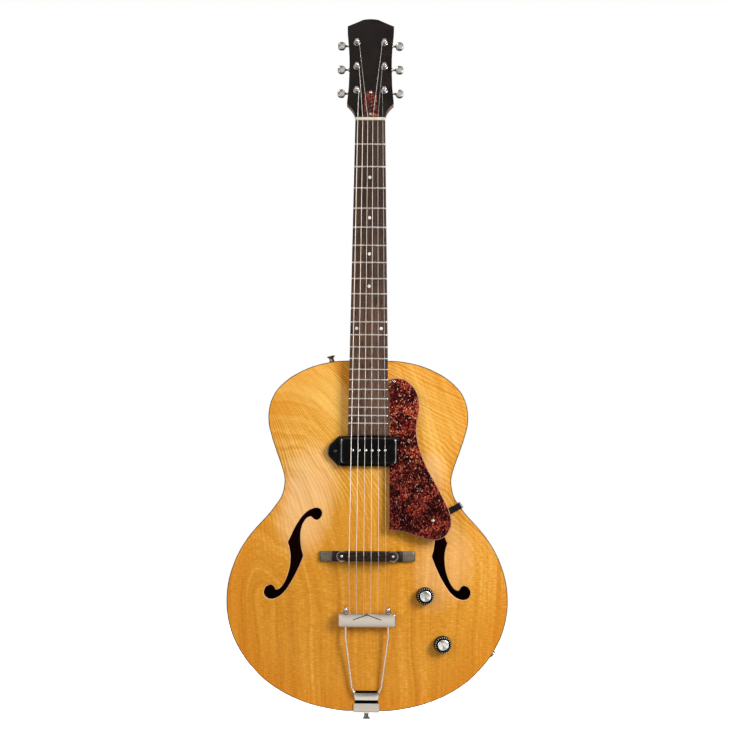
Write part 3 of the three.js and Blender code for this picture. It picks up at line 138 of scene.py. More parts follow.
def smooth_path(points, step, closed=False):
    """Cubic curve through the points, cut into pieces of about `step`."""
    P = np.asarray(points, float)
    n = len(P)
    if closed:
        Q = np.vstack([P[-1:], P, P[:2]])
        count = n
    else:
        Q = np.vstack([2 * P[:1] - P[1:2], P, 2 * P[-1:] - P[-2:-1]])
        count = n - 1
    d = np.linalg.norm(np.diff(Q, axis=0), axis=1)
    tangent = {}
    for i in range(1, count + 2):
        a, b = d[i - 1], d[i]
        tangent[i] = ((Q[i] - Q[i - 1]) / a * b + (Q[i + 1] - Q[i]) / b * a) / (a + b)
    out = []
    for i in range(1, count + 1):
        k = max(1, int(round(d[i] / step)))
        for j in range(k):
            t = j / k
            h = d[i]
            out.append(
                (2 * t**3 - 3 * t**2 + 1) * Q[i]
                + (t**3 - 2 * t**2 + t) * h * tangent[i]
                + (-2 * t**3 + 3 * t**2) * Q[i + 1]
                + (t**3 - t**2) * h * tangent[i + 1]
            )
    if not closed:
        out.append(P[-1])
    return np.array(out)


def cornered(points, corners, step):
    """A closed curve, smooth except at the listed points."""
    P = [list(p) for p in points]
    n = len(P)
    out = []
    for a, b in zip(corners, corners[1:] + [corners[0] + n]):
        run = [P[i % n] for i in range(a, b + 1)]
        out.append(smooth_path(run, step)[:-1])
    return np.vstack(out)


def resample(points, count, closed=True):
    P = np.vstack([points, points[:1]]) if closed else np.asarray(points)
    s = np.concatenate([[0], np.cumsum(np.linalg.norm(np.diff(P, axis=0), axis=1))])
    at = np.linspace(0, s[-1], count + 1)[:-1] if closed else np.linspace(0, s[-1], count)
    return np.stack([np.interp(at, s, P[:, k]) for k in range(P.shape[1])], 1)


def inset(loop, d):
    """A closed loop moved inwards by d, whichever way it runs."""
    before, after = np.roll(loop, 1, 0), np.roll(loop, -1, 0)
    t = after - before
    t /= np.linalg.norm(t, axis=1)[:, None]
    x, z = loop[:, 0], loop[:, 1]
    area = np.sum(x * np.roll(z, -1) - np.roll(x, -1) * z)
    s = 1 if area > 0 else -1
    return loop + s * d * np.stack([-t[:, 1], t[:, 0]], 1)


def inside(points, loop):
    x, z = points[:, 0][:, None], points[:, 1][:, None]
    ax, az = loop[:, 0][None], loop[:, 1][None]
    bx, bz = np.roll(loop, -1, 0)[:, 0][None], np.roll(loop, -1, 0)[:, 1][None]
    with np.errstate(divide="ignore", invalid="ignore"):
        hit = ((az > z) != (bz > z)) & (x < (bx - ax) * (z - az) / (bz - az) + ax)
    return hit.sum(1) % 2 == 1


full = np.array(HALF_OUTLINE + [[-x, z] for x, z in HALF_OUTLINE[1:-1][::-1]], float)
OUTLINE = resample(smooth_path(full, 1.0, True), 460)
for weight in (0.5, -0.52) * 5:
    OUTLINE = OUTLINE + weight * ((np.roll(OUTLINE, 1, 0) + np.roll(OUTLINE, -1, 0)) / 2 - OUTLINE)
OUTLINE = (OUTLINE + OUTLINE[(-np.arange(460)) % 460] * A(-1, 1)) / 2
OUTLINE[:, 0] = np.clip(OUTLINE[:, 0], -201.75, 201.75)
OUTLINE[:, 1] = np.maximum(OUTLINE[:, 1], -853.95)
turn = np.arctan2(OUTLINE[:, 0], OUTLINE[:, 1] - CENTRE_Z)
order = np.argsort(turn)
TURN = np.concatenate([turn[order] - 2 * math.pi, turn[order], turn[order] + 2 * math.pi])
EDGE = np.tile(np.hypot(OUTLINE[:, 0], OUTLINE[:, 1] - CENTRE_Z)[order], 3)
EGG = (215.27986814439558, -18.419858449491212, 49.520159734952934)


def share(x, z):
    """The arch contour through a point of the body: 0 at its centre, 1 at its edge."""
    x, z = np.broadcast_arrays(np.asarray(x, float), np.asarray(z, float))
    r = np.hypot(x, z - CENTRE_Z)
    a = np.arctan2(x, z - CENTRE_Z)
    edge = np.interp(a, TURN, EDGE)
    egg = EGG[0] + EGG[1] * np.cos(a) + EGG[2] * np.cos(2 * a)
    low, high = np.zeros_like(r), np.ones_like(r)
    for _ in range(32):
        t = (low + high) / 2
        b = t**1.6
        less = t * (b * edge + (1 - b) * egg) < r
        low, high = np.where(less, t, low), np.where(less, high, t)
    return np.where(r >= edge, 1.0, (low + high) / 2)


arch = lambda t: np.where(t >= 1, 0.0, (1 - np.minimum(t, 1) ** 2.2) ** 1.5)
front_y = lambda x, z: RIM_FRONT - ARCH_FRONT * arch(share(x, z))
inner_front_y = lambda x, z: RIM_FRONT + PLATE - 0.99 * ARCH_FRONT * arch(np.minimum(1, share(x, z) / 0.95))
back_y = lambda x, z: RIM_BACK + ARCH_BACK * arch(share(x, z))
inner_back_y = lambda x, z: RIM_BACK - PLATE + 0.99 * ARCH_BACK * arch(np.minimum(1, share(x, z) / 0.95))


def front_normal(x, z, e=4.0):
    dx = (front_y(x + e, z) - front_y(x - e, z)) / (2 * e)
    dz = (front_y(x, z + e) - front_y(x, z - e)) / (2 * e)
    return unit(A(dx, -1, dz))


def on_neck(x, depth, s):
    """x across, depth behind the fingerboard's crown line, distance from the nut."""
    c, k = math.cos(NECK_TILT), math.sin(NECK_TILT)
    return A(x, BOARD_FRONT - k * s + depth * c, -c * s - depth * k)


def on_head(x, depth, v):
    c, k = math.cos(HEAD_TILT), math.sin(HEAD_TILT)
    return A(x, -7 + depth * c + v * k, 5 - depth * k + v * c)


HEAD_BACK = A(0, math.cos(HEAD_TILT), -math.sin(HEAD_TILT))
HEAD_UP = A(0, math.sin(HEAD_TILT), math.cos(HEAD_TILT))
NECK_OUT = A(0, -math.cos(NECK_TILT), math.sin(NECK_TILT))
NECK_DOWN = A(0, -math.sin(NECK_TILT), -math.cos(NECK_TILT))
board_half = lambda s: (NUT_WIDTH + (BOARD_END_WIDTH - NUT_WIDTH) * s / BOARD_LENGTH) / 2
fret_at = lambda n: SCALE_LENGTH * (1 - 2 ** (-n / 12))
board_drop = lambda x: BOARD_RADIUS - math.sqrt(BOARD_RADIUS**2 - x * x)


# -------------------------------------------------------------- mesh helpers
class Shell:
    """Collects closed surfaces, in millimetres, into one piece."""

    def __init__(self):
        self.v, self.f, self.m, self.n = [], [], [], 0

    def add(self, verts, faces, mat=0):
        verts = np.asarray(verts, float)
        self.v.append(verts)
        self.f += [[i + self.n for i in f] for f in faces]
        self.m += [mat] * len(faces) if isinstance(mat, int) else list(mat)
        self.n += len(verts)
        return self

    def make(self, name, mats, body="root", node=None, slot=None, angle=38, bevel=0, segments=2, ride=True):
        bm = bmesh.new()
        vs = [bm.verts.new(p) for p in np.vstack(self.v) * 0.001]
        for f, m in zip(self.f, self.m):
            try:
                bm.faces.new([vs[i] for i in f]).material_index = m
            except ValueError:
                pass
        bmesh.ops.remove_doubles(bm, verts=bm.verts, dist=1e-7)
        bmesh.ops.dissolve_degenerate(bm, dist=1e-7, edges=bm.edges)
        bmesh.ops.recalc_face_normals(bm, faces=bm.faces)
        if bevel:
            sharp = [e for e in bm.edges if len(e.link_faces) == 2 and e.calc_face_angle(0) > 35 * D]
            bmesh.ops.bevel(bm, geom=sharp, offset=bevel * 0.001, segments=segments, profile=0.5, affect="EDGES", clamp_overlap=True)
        big = [f for f in bm.faces if len(f.verts) > 4]
        if big:
            bmesh.ops.triangulate(bm, faces=big)
        mesh = bpy.data.meshes.new(name)
        bm.to_mesh(mesh)
        bm.free()
        mesh.polygons.foreach_set("use_smooth", [True] * len(mesh.polygons))
        mesh.set_sharp_from_angle(angle=angle * D)
        mesh.validate()
        o = bpy.data.objects.new(name, mesh)
        bpy.context.scene.collection.objects.link(o)
        for m in mats if isinstance(mats, (list, tuple)) else [mats]:
            mesh.materials.append(m)
        if node:
            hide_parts(*([node] if isinstance(node, str) else node))
        if ride:
            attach(o, body)
        return o


def loft(rings, closed=True, caps=True, loop=False):
    """Rings of equal counts joined into a surface; `closed` rings are loops."""
    n = len(rings[0])
    verts = [p for r in rings for p in r]
    faces = []
    last = len(rings) if loop else len(rings) - 1
    for i in range(last):
        a, b = i * n, ((i + 1) % len(rings)) * n
        for j in range(n if closed else n - 1):
            k = (j + 1) % n
            faces.append([a + j, b + j, b + k, a + k])
    if caps and not loop:
        faces.append(list(range(n)))
        faces.append([(len(rings) - 1) * n + j for j in range(n)][::-1])
    return verts, faces


def basis(axis):
    y = unit(axis)
    ref = A(0, 0, 1) if abs(y[2]) < 0.9 else A(1, 0, 0)
    x = unit(np.cross(ref, y))
    return x, y, np.cross(x, y)


def turned(profile, sides, origin=(0, 0, 0), axis=(0, 1, 0), wobble=None):
    """A lathe shape: [radius, height along the axis]. wobble(r, h, angle) changes r."""
    o = np.asarray(origin, float)
    x, y, z = basis(axis)
    rings = []
    for r, h in profile:
        ring = []
        for j in range(sides):
            a = 2 * math.pi * j / sides
            q = wobble(r, h, a) if wobble and r > 0 else max(r, 0.002)
            ring.append(o + y * h + (x * math.cos(a) + z * math.sin(a)) * q)
        rings.append(ring)
    return loft(rings)


def ringed(profile, sides, origin=(0, 0, 0), axis=(0, 1, 0), wobble=None):
    """A turned ring: the profile is a loop that stays off the axis."""
    o = np.asarray(origin, float)
    x, y, z = basis(axis)
    rings = []
    for j in range(sides):
        a = 2 * math.pi * j / sides
        out = x * math.cos(a) + z * math.sin(a)
        rings.append([o + y * h + out * (wobble(r, h, a) if wobble else r) for r, h in profile])
    return loft(rings, loop=True)


def tube(path, radius, sides=12, loop=False, caps=True):
    """A round bar along a path, its frame carried along without twisting."""
    P = np.asarray(path, float)
    n = len(P)
    if loop:
        T = np.roll(P, -1, 0) - np.roll(P, 1, 0)
    else:
        T = np.gradient(P, axis=0)
    T /= np.linalg.norm(T, axis=1)[:, None]
    ref = A(0, 0, 1) if abs(T[0][2]) < 0.9 else A(1, 0, 0)
    N = unit(np.cross(T[0], ref))
    rings = []
    for i in range(n):
        N = unit(N - T[i] * (N @ T[i]))
        B = np.cross(T[i], N)
        r = radius[i] if hasattr(radius, "__len__") else radius
        rings.append([P[i] + r * (N * math.cos(a) + B * math.sin(a)) for a in np.linspace(0, 2 * math.pi, sides, endpoint=False)])
    return loft(rings, loop=loop, caps=caps)


def slab(loops, place):
    """Loops of equal counts, each [(x, z) loop, depth]; place(x, depth, z) gives the point."""
    rings = [[place(p[0], d, p[1]) for p in loop] for loop, d in loops]
    return loft(rings)


def block(x0, x1, y0, y1, z0, z1, place=lambda x, y, z: A(x, y, z)):
    v = [place(x, y, z) for x in (x0, x1) for y in (y0, y1) for z in (z0, z1)]
    f = [[0, 1, 3, 2], [4, 6, 7, 5], [0, 4, 5, 1], [2, 3, 7, 6], [0, 2, 6, 4], [1, 5, 7, 3]]
    return v, f


def screw(shell, at, out, r, height=0.9, kind="cross", mat=0, sides=28):
    """A domed screw head with a recess, standing on a surface."""
    prof = [(0, -0.4), (r, -0.4), (r, 0.12 * height), (0.92 * r, 0.5 * height), (0.7 * r, 0.82 * height), (0.4 * r, 0.97 * height), (0, height)]
    x, y, z = basis(out)
    o = np.asarray(at, float)
    arm, half = 0.55 * r, 0.13 * r

    def deep(p):
        u, w = (p - o) @ x, (p - o) @ z
        h = (p - o) @ y
        slot_ = (abs(u) < half and abs(w) < arm) or (kind == "cross" and abs(w) < half and abs(u) < arm)
        return slot_ and h > 0.2 * height

    rings = 16
    verts, faces = [], []
    pr = np.array(prof[1:])[::-1]
    rr = np.linspace(0, r, rings)
    hh = np.interp(rr, pr[:, 0], pr[:, 1])
    ring = []
    loops = []
    for q, h in zip(rr, hh):
        loops.append([o + y * h + (x * math.cos(a) + z * math.sin(a)) * max(q, 0.002) for a in np.linspace(0, 2 * math.pi, sides, endpoint=False)])
    loops.append([o - y * 0.4 + (x * math.cos(a) + z * math.sin(a)) * r for a in np.linspace(0, 2 * math.pi, sides, endpoint=False)])
    v, f = loft(loops)
    v = [p - y * 0.55 * height if deep(p) else p for p in v]
    shell.add(v, f, mat)
    return shell


def hexagon(across, h0, h1, at, axis, chamfer=0.35, mat=0, shell=None, spin=0.0):
    x, y, z = basis(axis)
    o = np.asarray(at, float)
    r = across / 2 / math.cos(30 * D)
    ring = lambda q, h: [o + y * h + (x * math.cos(spin + k * 60 * D) + z * math.sin(spin + k * 60 * D)) * q for k in range(6)]
    v, f = loft([ring(r - chamfer, h0), ring(r, h0 + chamfer * 0.6), ring(r, h1 - chamfer * 0.6), ring(r - chamfer, h1)])
    return shell.add(v, f, mat) if shell else (v, f)


# ------------------------------------------------------------------ materials
def lin(r, g, b):
    """An sRGB colour, 0 to 255, as linear values."""
    f = lambda c: c / 12.92 if c <= 0.04045 else ((c + 0.055) / 1.055) ** 2.4
    return (f(r / 255), f(g / 255), f(b / 255), 1)


class Mat:
    def __init__(self, name):
        self.m = bpy.data.materials.new(name)
        self.m.use_nodes = True
        self.t = self.m.node_tree
        self.b = self.t.nodes["Principled BSDF"]
        self.coord = self.node("ShaderNodeTexCoord").outputs["Object"]

    def node(self, kind, **props):
        n = self.t.nodes.new(kind)
        for k, v in props.items():
            setattr(n, k, v)
        return n

    def put(self, socket, value):
        if isinstance(value, bpy.types.NodeSocket):
            self.t.links.new(value, socket)
        elif value is not None:
            socket.default_value = value

    def mapped(self, vec=None, scale=(1, 1, 1), rot=(0, 0, 0), loc=(0, 0, 0)):
        n = self.node("ShaderNodeMapping")
        self.put(n.inputs["Vector"], vec or self.coord)
        n.inputs["Scale"].default_value = scale
        n.inputs["Rotation"].default_value = rot
        n.inputs["Location"].default_value = loc
        return n.outputs[0]

    def noise(self, vec=None, scale=10.0, detail=3.0, rough=0.5, dist=0.0, out="Fac"):
        n = self.node("ShaderNodeTexNoise")
        self.put(n.inputs["Vector"], vec or self.coord)
        n.inputs["Scale"].default_value = scale
        n.inputs["Detail"].default_value = detail
        n.inputs["Roughness"].default_value = rough
        n.inputs["Distortion"].default_value = dist
        return n.outputs[out]

    def voronoi(self, vec=None, scale=100.0, feature="F1", out="Distance", rand=1.0):
        n = self.node("ShaderNodeTexVoronoi", feature=feature)
        self.put(n.inputs["Vector"], vec or self.coord)
        n.inputs["Scale"].default_value = scale
        n.inputs["Randomness"].default_value = rand
        return n.outputs[out]

    def wave(self, vec=None, scale=10.0, dist=0.0, detail=2.0, dscale=1.0, direction="X", kind="BANDS", profile="SIN"):
        n = self.node("ShaderNodeTexWave", wave_type=kind, wave_profile=profile)
        if kind == "BANDS":
            n.bands_direction = direction
        else:
            n.rings_direction = direction
        self.put(n.inputs["Vector"], vec or self.coord)
        n.inputs["Scale"].default_value = scale
        n.inputs["Distortion"].default_value = dist
        n.inputs["Detail"].default_value = detail
        n.inputs["Detail Scale"].default_value = dscale
        return n.outputs["Fac"]

    def math(self, op, a, b=None, c=None, clamp=False):
        n = self.node("ShaderNodeMath", operation=op, use_clamp=clamp)
        for s, v in zip(n.inputs, (a, b, c)):
            self.put(s, v)
        return n.outputs[0]

    def vec(self, op, a, b=None, scale=None):
        n = self.node("ShaderNodeVectorMath", operation=op)
        self.put(n.inputs[0], a)
        if b is not None:
            self.put(n.inputs[1], b)
        if scale is not None:
            self.put(n.inputs["Scale"], scale)
        return n.outputs["Value" if op in ("DOT_PRODUCT", "LENGTH", "DISTANCE") else "Vector"]

    def combine(self, x, y, z):
        n = self.node("ShaderNodeCombineXYZ")
        for s, v in zip(n.inputs, (x, y, z)):
            self.put(s, v)
        return n.outputs[0]

    def axes(self, vec=None):
        n = self.node("ShaderNodeSeparateXYZ")
        self.put(n.inputs[0], vec or self.coord)
        return n.outputs

    def mix(self, fac, a, b, blend="MIX"):
        n = self.node("ShaderNodeMix", data_type="RGBA", blend_type=blend)
        self.put(n.inputs["Factor"], fac)
        self.put(n.inputs[6], a)
        self.put(n.inputs[7], b)
        return n.outputs[2]

    def ramp(self, fac, stops, interp="LINEAR"):
        n = self.node("ShaderNodeValToRGB")
        r = n.color_ramp
        r.interpolation = interp
        while len(r.elements) < len(stops):
            r.elements.new(0.5)
        for e, (p, c) in zip(r.elements, stops):
            e.position = p
            e.color = c if hasattr(c, "__len__") else (c, c, c, 1)
        self.put(n.inputs[0], fac)
        return n.outputs["Color"]

    def span(self, v, a, b, c=0.0, d=1.0, smooth=True):
        n = self.node("ShaderNodeMapRange", interpolation_type="SMOOTHSTEP" if smooth else "LINEAR")
        for k, x in zip(("Value", "From Min", "From Max", "To Min", "To Max"), (v, a, b, c, d)):
            self.put(n.inputs[k], x)
        return n.outputs["Result"]

    def bump(self, height, distance, strength=1.0, normal=None):
        n = self.node("ShaderNodeBump")
        self.put(n.inputs["Height"], height)
        n.inputs["Distance"].default_value = distance
        n.inputs["Strength"].default_value = strength
        if normal:
            self.put(n.inputs["Normal"], normal)
        return n.outputs[0]

    def done(self, color, rough, normal=None, coat_normal=None, **fixed):
        self.put(self.b.inputs["Base Color"], color)
        self.put(self.b.inputs["Roughness"], rough)
        self.put(self.b.inputs["Normal"], normal)
        self.put(self.b.inputs["Coat Normal"], coat_normal)
        for k, v in fixed.items():
            self.b.inputs[k.replace("_", " ")].default_value = v
        return self.m


def figured_wood(name, dark, mid, light, edge, seed=0.0, streak=0.5, curl=0.5, fleck=0.35, coat=0.5, rough=0.34, side=False):
    """Lacquered figured wood: cathedral long grain, curl across it and fine flecks."""
    m = Mat(name)
    x, y, z = m.axes()
    mul = lambda a, b: m.math("MULTIPLY", a, b)
    add = lambda a, b: m.math("ADD", a, b)
    off = lambda n, k=1.0: mul(m.math("SUBTRACT", n, 0.5), k)
    base = m.mapped(scale=(1, 1 if side else 0.15, 1), loc=(seed, seed * 0.3, seed))
    warp = m.noise(m.mapped(base, scale=(7, 3, 3.0)), 1.0, 2.0, 0.45)
    warp2 = m.noise(m.mapped(base, scale=(23, 8, 7), loc=(3, 1, 7)), 1.0, 2.0, 0.5)
    if side:
        across = add(add(y, off(warp, 0.03)), off(warp2, 0.008))
        along = add(z, mul(x, 0.8))
    else:
        # arches that open towards the tail, with their feet either side of one line
        px = add(add(x, 0.142), off(warp, 0.05))
        pz = mul(m.math("MAXIMUM", add(add(z, 0.700), off(warp, 0.08)), 0.0), 0.50)
        across = add(m.math("SQRT", add(mul(px, px), mul(pz, pz))), off(warp2, 0.016))
        along = z
    lines = m.noise(m.combine(mul(across, 230), mul(y, 3), mul(along, 5)), 1.0, 4.0, 0.62)
    broad = m.noise(m.combine(mul(across, 62), mul(y, 2), mul(along, 1.6)), 1.0, 3.0, 0.55)
    fibre = m.noise(m.combine(mul(across, 900), mul(y, 40), mul(along, 30)), 1.0, 2.0, 0.5)
    # curl: fine ripples running down and to the right, spreading from one shoulder
    cx, cz = add(x, 0.205), add(z, 0.255)
    fan = m.math("ARCTAN2", cx, mul(cz, -1))
    reach = m.math("SQRT", add(mul(cx, cx), mul(cz, cz)))
    wob = m.noise(m.mapped(base, scale=(9, 2, 9), loc=(9, 0, 4)), 1.0, 3.0, 0.5)
    if side:
        fan, reach = mul(add(z, mul(x, 0.6)), 4.0), y
    bent_fan = add(fan, off(wob, 0.10))
    streaky = m.noise(m.combine(mul(bent_fan, 70), mul(reach, 11), 0.0), 1.0, 2.0, 0.5)
    ripple = m.wave(m.combine(bent_fan, 0.0, 0.0), 20.0, 1.3, 2.0, 2.0)
    ripple = add(off(ripple, 0.34), off(streaky, 0.8))
    where = m.span(m.noise(m.mapped(base, scale=(6, 1, 6), loc=(1, 5, 2)), 1.0, 1.0), 0.3, 0.7, 0.4, 1.0)
    upper = m.span(z, -0.66, -0.50, 0.10, 1.0)
    ripple = mul(mul(ripple, upper), where)
    # medullary flecks: short, across the grain
    spots = m.noise(m.combine(mul(x if not side else y, 150), mul(y, 60), mul(along, 640)), 1.0, 2.0, 0.55)
    low = m.span(z, -0.52, -0.68, 0.45, 1.0)
    tone = add(off(lines, streak), off(broad, streak * 1.2))
    tone = add(tone, mul(ripple, curl))
    tone = add(tone, mul(off(spots, fleck), low))
    tone = add(tone, off(fibre, 0.14))
    slow = m.noise(m.mapped(base, scale=(4.2, 2, 3.1), loc=(5, 2, 8)), 1.0, 1.0, 0.4)
    tone = add(add(tone, 0.5), off(slow, 0.34))
    if not side:
        # painted light: the front is painted darker towards the tail and paler towards the neck, in place of the lamps'
        # light falling off down the body; the next two lines lift the tone on the left above the waist and along the
        # right edge, most above the lower bout
        tone = add(tone, m.span(z, -0.74, -0.46, -0.12, 0.12))
        tone = add(tone, mul(m.span(x, 0.05, -0.13), m.span(z, -0.56, -0.46, 0.0, 0.05)))
        tone = add(tone, mul(m.span(x, 0.12, 0.19), m.span(z, -0.76, -0.62, 0.05, 0.22)))
        # painted sheen: a paler, pinkish zone across the waist and round the bass sound hole, in place of the soft
        # highlight on the lacquer
        pale = 0.0
        for x0, z0, kx, kz, much in ((-0.086, -0.550, 22, 12, 0.58), (0.113, -0.640, 22, 15, 0.32), (0.090, -0.513, 42, 26, 0.42)):
            qx = mul(add(add(x, -x0), off(warp, 0.05)), kx)
            qz = mul(add(add(z, -z0), off(warp, 0.07)), kz)
            near = m.span(add(mul(qx, qx), mul(qz, qz)), 1.0, 0.0)
            pale = m.math("MAXIMUM", pale, mul(m.math("POWER", near, 0.8), much))
        pale = mul(pale, m.span(lines, 0.2, 0.7, 0.65, 1.0))
    color = m.ramp(tone, [(0.06, dark), (0.5, mid), (0.96, light)])
    if not side:
        color = m.mix(pale, color, lin(250, 202, 146))
        a = m.node("ShaderNodeAttribute", attribute_name="rise").outputs["Fac"]
        color = m.mix(m.span(a, 0.78, 1.0, 0.0, 0.75), color, m.mix(1.0, color, edge, "MULTIPLY"))
    r = m.span(m.noise(scale=24, detail=4), 0.3, 0.7, rough - 0.05, rough + 0.07)
    n = m.bump(add(mul(lines, 0.6), mul(fibre, 0.4)), 0.00006, 0.55)
    polish = m.bump(m.noise(scale=55, detail=3), 0.00010, 0.35)
    return m.done(color, r, n, polish, Coat_Weight=coat, Coat_Roughness=0.16, Coat_IOR=1.5, Specular_IOR_Level=0.12)


def plain_wood(name, dark, light, along=(0, 0, 1), scale=1.0, rough=0.6, coat=0.0, pores=0.5, coat_rough=0.15, painted_shade_to_nut=0.0):
    """Straight-grained wood with fine open pores along its length."""
    m = Mat(name)
    d = unit(along)
    squeeze = m.mapped(scale=(1, 1, 0.045)) if abs(d[2]) > 0.7 else m.mapped(scale=(0.045, 1, 1))
    grain = m.noise(squeeze, 330 * scale, 4.0, 0.6, 0.15)
    bands = m.noise(m.mapped(squeeze, scale=(1, 1, 1), loc=(0.3, 0.1, 0.7)), 70 * scale, 3.0, 0.55, 0.4)
    pore = m.span(m.noise(squeeze, 1150 * scale, 2.0, 0.5), 0.56, 0.66)
    slow = m.noise(scale=11, detail=2)
    tone = m.math("ADD", m.math("MULTIPLY", grain, 0.45), m.math("ADD", m.math("MULTIPLY", bands, 0.4), m.math("MULTIPLY", slow, 0.25)))
    color = m.ramp(tone, [(0.36, dark), (0.70, light)])
    color = m.mix(m.math("MULTIPLY", pore, pores), color, tuple(c * 0.35 for c in dark[:3]) + (1,))
    # painted shade: the board is darkened towards the nut end, in place of the shade that falls there
    if painted_shade_to_nut:
        color = m.mix(m.span(m.axes()[2], -0.45, 0.02, 0.0, painted_shade_to_nut), color, m.mix(1.0, color, (0.35, 0.33, 0.31, 1), "MULTIPLY"))
    r = m.span(grain, 0.3, 0.7, rough - 0.07, rough + 0.08)
    n = m.bump(m.math("SUBTRACT", grain, m.math("MULTIPLY", pore, 0.8)), 0.00007, 0.6)
    return m.done(color, r, n, Coat_Weight=coat, Coat_Roughness=coat_rough, Specular_IOR_Level=0.2)


def plated(name, tint, rough=0.2, haze=0.12, scuff=0.5, brushed=None, dull_wear_and_painted_reflection=None):
    """Nickel plate: faint haze, fine scuffs and slightly duller patches."""
    m = Mat(name)
    patch = m.noise(scale=75, detail=5, rough=0.6)
    if brushed:
        fine = m.noise(m.mapped(scale=brushed), 1.0, 3.0, 0.6)
    else:
        fine = m.noise(m.mapped(scale=(900, 340, 900), rot=(0.4, 0.2, 0.7)), 1.0, 2.0, 0.6)
    r = m.span(m.math("ADD", m.math("MULTIPLY", patch, 0.6), m.math("MULTIPLY", fine, 0.4)), 0.3, 0.72, rough - haze * 0.4, rough + haze)
    color = m.ramp(patch, [(0.25, tuple(c * 0.86 for c in tint[:3]) + (1,)), (0.7, tint)])
    if dull_wear_and_painted_reflection:
        color = m.mix(m.span(fine, 0.52, 0.7, 0, scuff), color, dull_wear_and_painted_reflection)
    n = m.bump(fine, 0.000012, scuff)
    return m.done(color, r, n, Metallic=1.0)


def plastic(name, base, other, rough=0.12, scale=160, bumpy=0.00002, coat=0.0, spec=0.5):
    m = Mat(name)
    cloud = m.noise(scale=scale, detail=4)
    scr = m.noise(m.mapped(scale=(1500, 400, 120), rot=(0.1, 0.5, 0.3)), 1.0, 2.0, 0.5)
    color = m.mix(m.span(cloud, 0.3, 0.7), base, other)
    r = m.span(m.math("ADD", m.math("MULTIPLY", cloud, 0.5), m.math("MULTIPLY", scr, 0.5)), 0.35, 0.7, rough * 0.75, rough * 1.7)
    return m.done(color, r, m.bump(cloud, bumpy, 0.4), Coat_Weight=coat, Coat_Roughness=0.05, Specular_IOR_Level=spec)


def tortoise(name, scale=1.0, coarse=1.0, deep=0.12):
    """Mottled red-brown sheet: crowded flakes from near black to orange and cream."""
    m = Mat(name)
    wob = m.noise(scale=300 * scale, detail=2, out="Color")
    v = m.vec("ADD", m.coord, m.vec("SCALE", m.vec("SUBTRACT", wob, (0.5, 0.5, 0.5)), scale=0.0040))
    flat = m.mapped(v, scale=(1, 0.2, 1))
    cells = m.axes(m.voronoi(flat, 560 * scale, out="Color"))[0]
    slivers = m.axes(m.voronoi(m.mapped(flat, scale=(1, 1, 0.55), rot=(0, 0.6, 0)), 900 * scale, out="Color"))[1]
    cross = m.axes(m.voronoi(m.mapped(flat, scale=(0.5, 1, 1), rot=(0, -0.5, 0)), 760 * scale, out="Color"))[2]
    cloud = m.noise(scale=48 * coarse, detail=3, rough=0.55)
    color = m.ramp(m.math("ADD", m.math("MULTIPLY", cells, 0.50), m.math("MULTIPLY", cloud, 0.96)),
                   [(0.45, lin(15, 2, 6)), (0.61, lin(44, 5, 10)), (0.76, lin(84, 13, 17)), (0.89, lin(120, 25, 25)), (1.0, lin(164, 54, 40))])
    glow = m.math("MULTIPLY", m.span(slivers, 0.73, 0.79), m.span(cloud, 0.40, 0.60, 0.15, 1.0))
    color = m.mix(m.math("MULTIPLY", glow, 0.85), color, lin(230, 118, 72))
    dark = m.math("MULTIPLY", m.span(cross, 0.60, 0.68), m.span(cloud, 0.66, 0.44))
    color = m.mix(m.math("MULTIPLY", dark, 0.9), color, lin(14, 2, 6))
    pale = m.span(m.axes(m.voronoi(m.mapped(flat, scale=(1, 1, 0.6), rot=(0, 0.9, 0)), 1050 * scale, out="Color"))[0], 0.945, 0.965)
    color = m.mix(m.math("MULTIPLY", pale, 0.85), color, lin(242, 182, 142))
    deeper = m.math("ADD", m.span(m.axes()[2], -0.40, -0.56), m.math("MULTIPLY", m.math("SUBTRACT", m.noise(scale=21, detail=1), 0.5), 1.6))
    color = m.mix(m.span(deeper, 0.0, 1.0, deep, 0.9), color, m.mix(1.0, color, (0.40, 0.27, 0.36, 1), "MULTIPLY"))
    r = m.span(m.noise(scale=40, detail=3), 0.3, 0.7, 0.10, 0.2)
    return m.done(color, r, m.bump(m.noise(scale=90, detail=2), 0.00004, 0.3), Coat_Weight=0.12, Coat_Roughness=0.06, Specular_IOR_Level=0.2)


def wound(name, tint, pitch, dark):
    """Round-wound string: the turns of the cover wire along its length."""
    m = Mat(name)
    turns = m.wave(m.mapped(scale=(0, 0, 1)), 2 * math.pi / pitch / 20.0, 0.0, 0.0, 1.0, "Z")
    color = m.mix(m.span(turns, 0.0, 0.45), dark, tint)
    age = m.noise(m.mapped(scale=(1, 1, 0.2)), 60, 3)
    color = m.mix(m.span(age, 0.45, 0.7, 0, 0.35), color, tuple(c * 0.7 for c in tint[:3]) + (1,))
    return m.done(color, m.span(age, 0.3, 0.7, 0.34, 0.44), m.bump(turns, 0.00006, 0.8), Metallic=1.0)


def spun_cap(name, x0, z0):
    """A turned metal cap: circular brushing, with two darker sectors round the centre painted in as a reflection of
    dark surroundings.
    """
    m = Mat(name)
    tangent = m.node("ShaderNodeTangent", direction_type="RADIAL", axis="Y")
    m.put(m.b.inputs["Tangent"], tangent.outputs[0])
    x, y, z = m.axes()
    turn = m.math("ARCTAN2", m.math("SUBTRACT", z, z0 / 1000), m.math("SUBTRACT", x, x0 / 1000))
    sector = lambda a, lo, hi: m.span(m.math("COSINE", m.math("SUBTRACT", turn, a)), lo, hi)
    # painted reflection: the two sectors are darkened in place of the dark surroundings mirrored in the spun metal
    dull_wear_and_painted_reflection = m.math("MAXIMUM", sector(-1.15, 0.80, 0.97), m.math("MULTIPLY", sector(1.75, 0.86, 0.98), 0.6))
    ring = m.noise(scale=420, detail=2)
    color = m.mix(m.math("MULTIPLY", dull_wear_and_painted_reflection, 0.75), (0.98, 0.98, 0.94, 1), (0.26, 0.25, 0.26, 1))
    return m.done(color, m.span(ring, 0.3, 0.7, 0.16, 0.26), Metallic=1.0, Anisotropic=0.8)


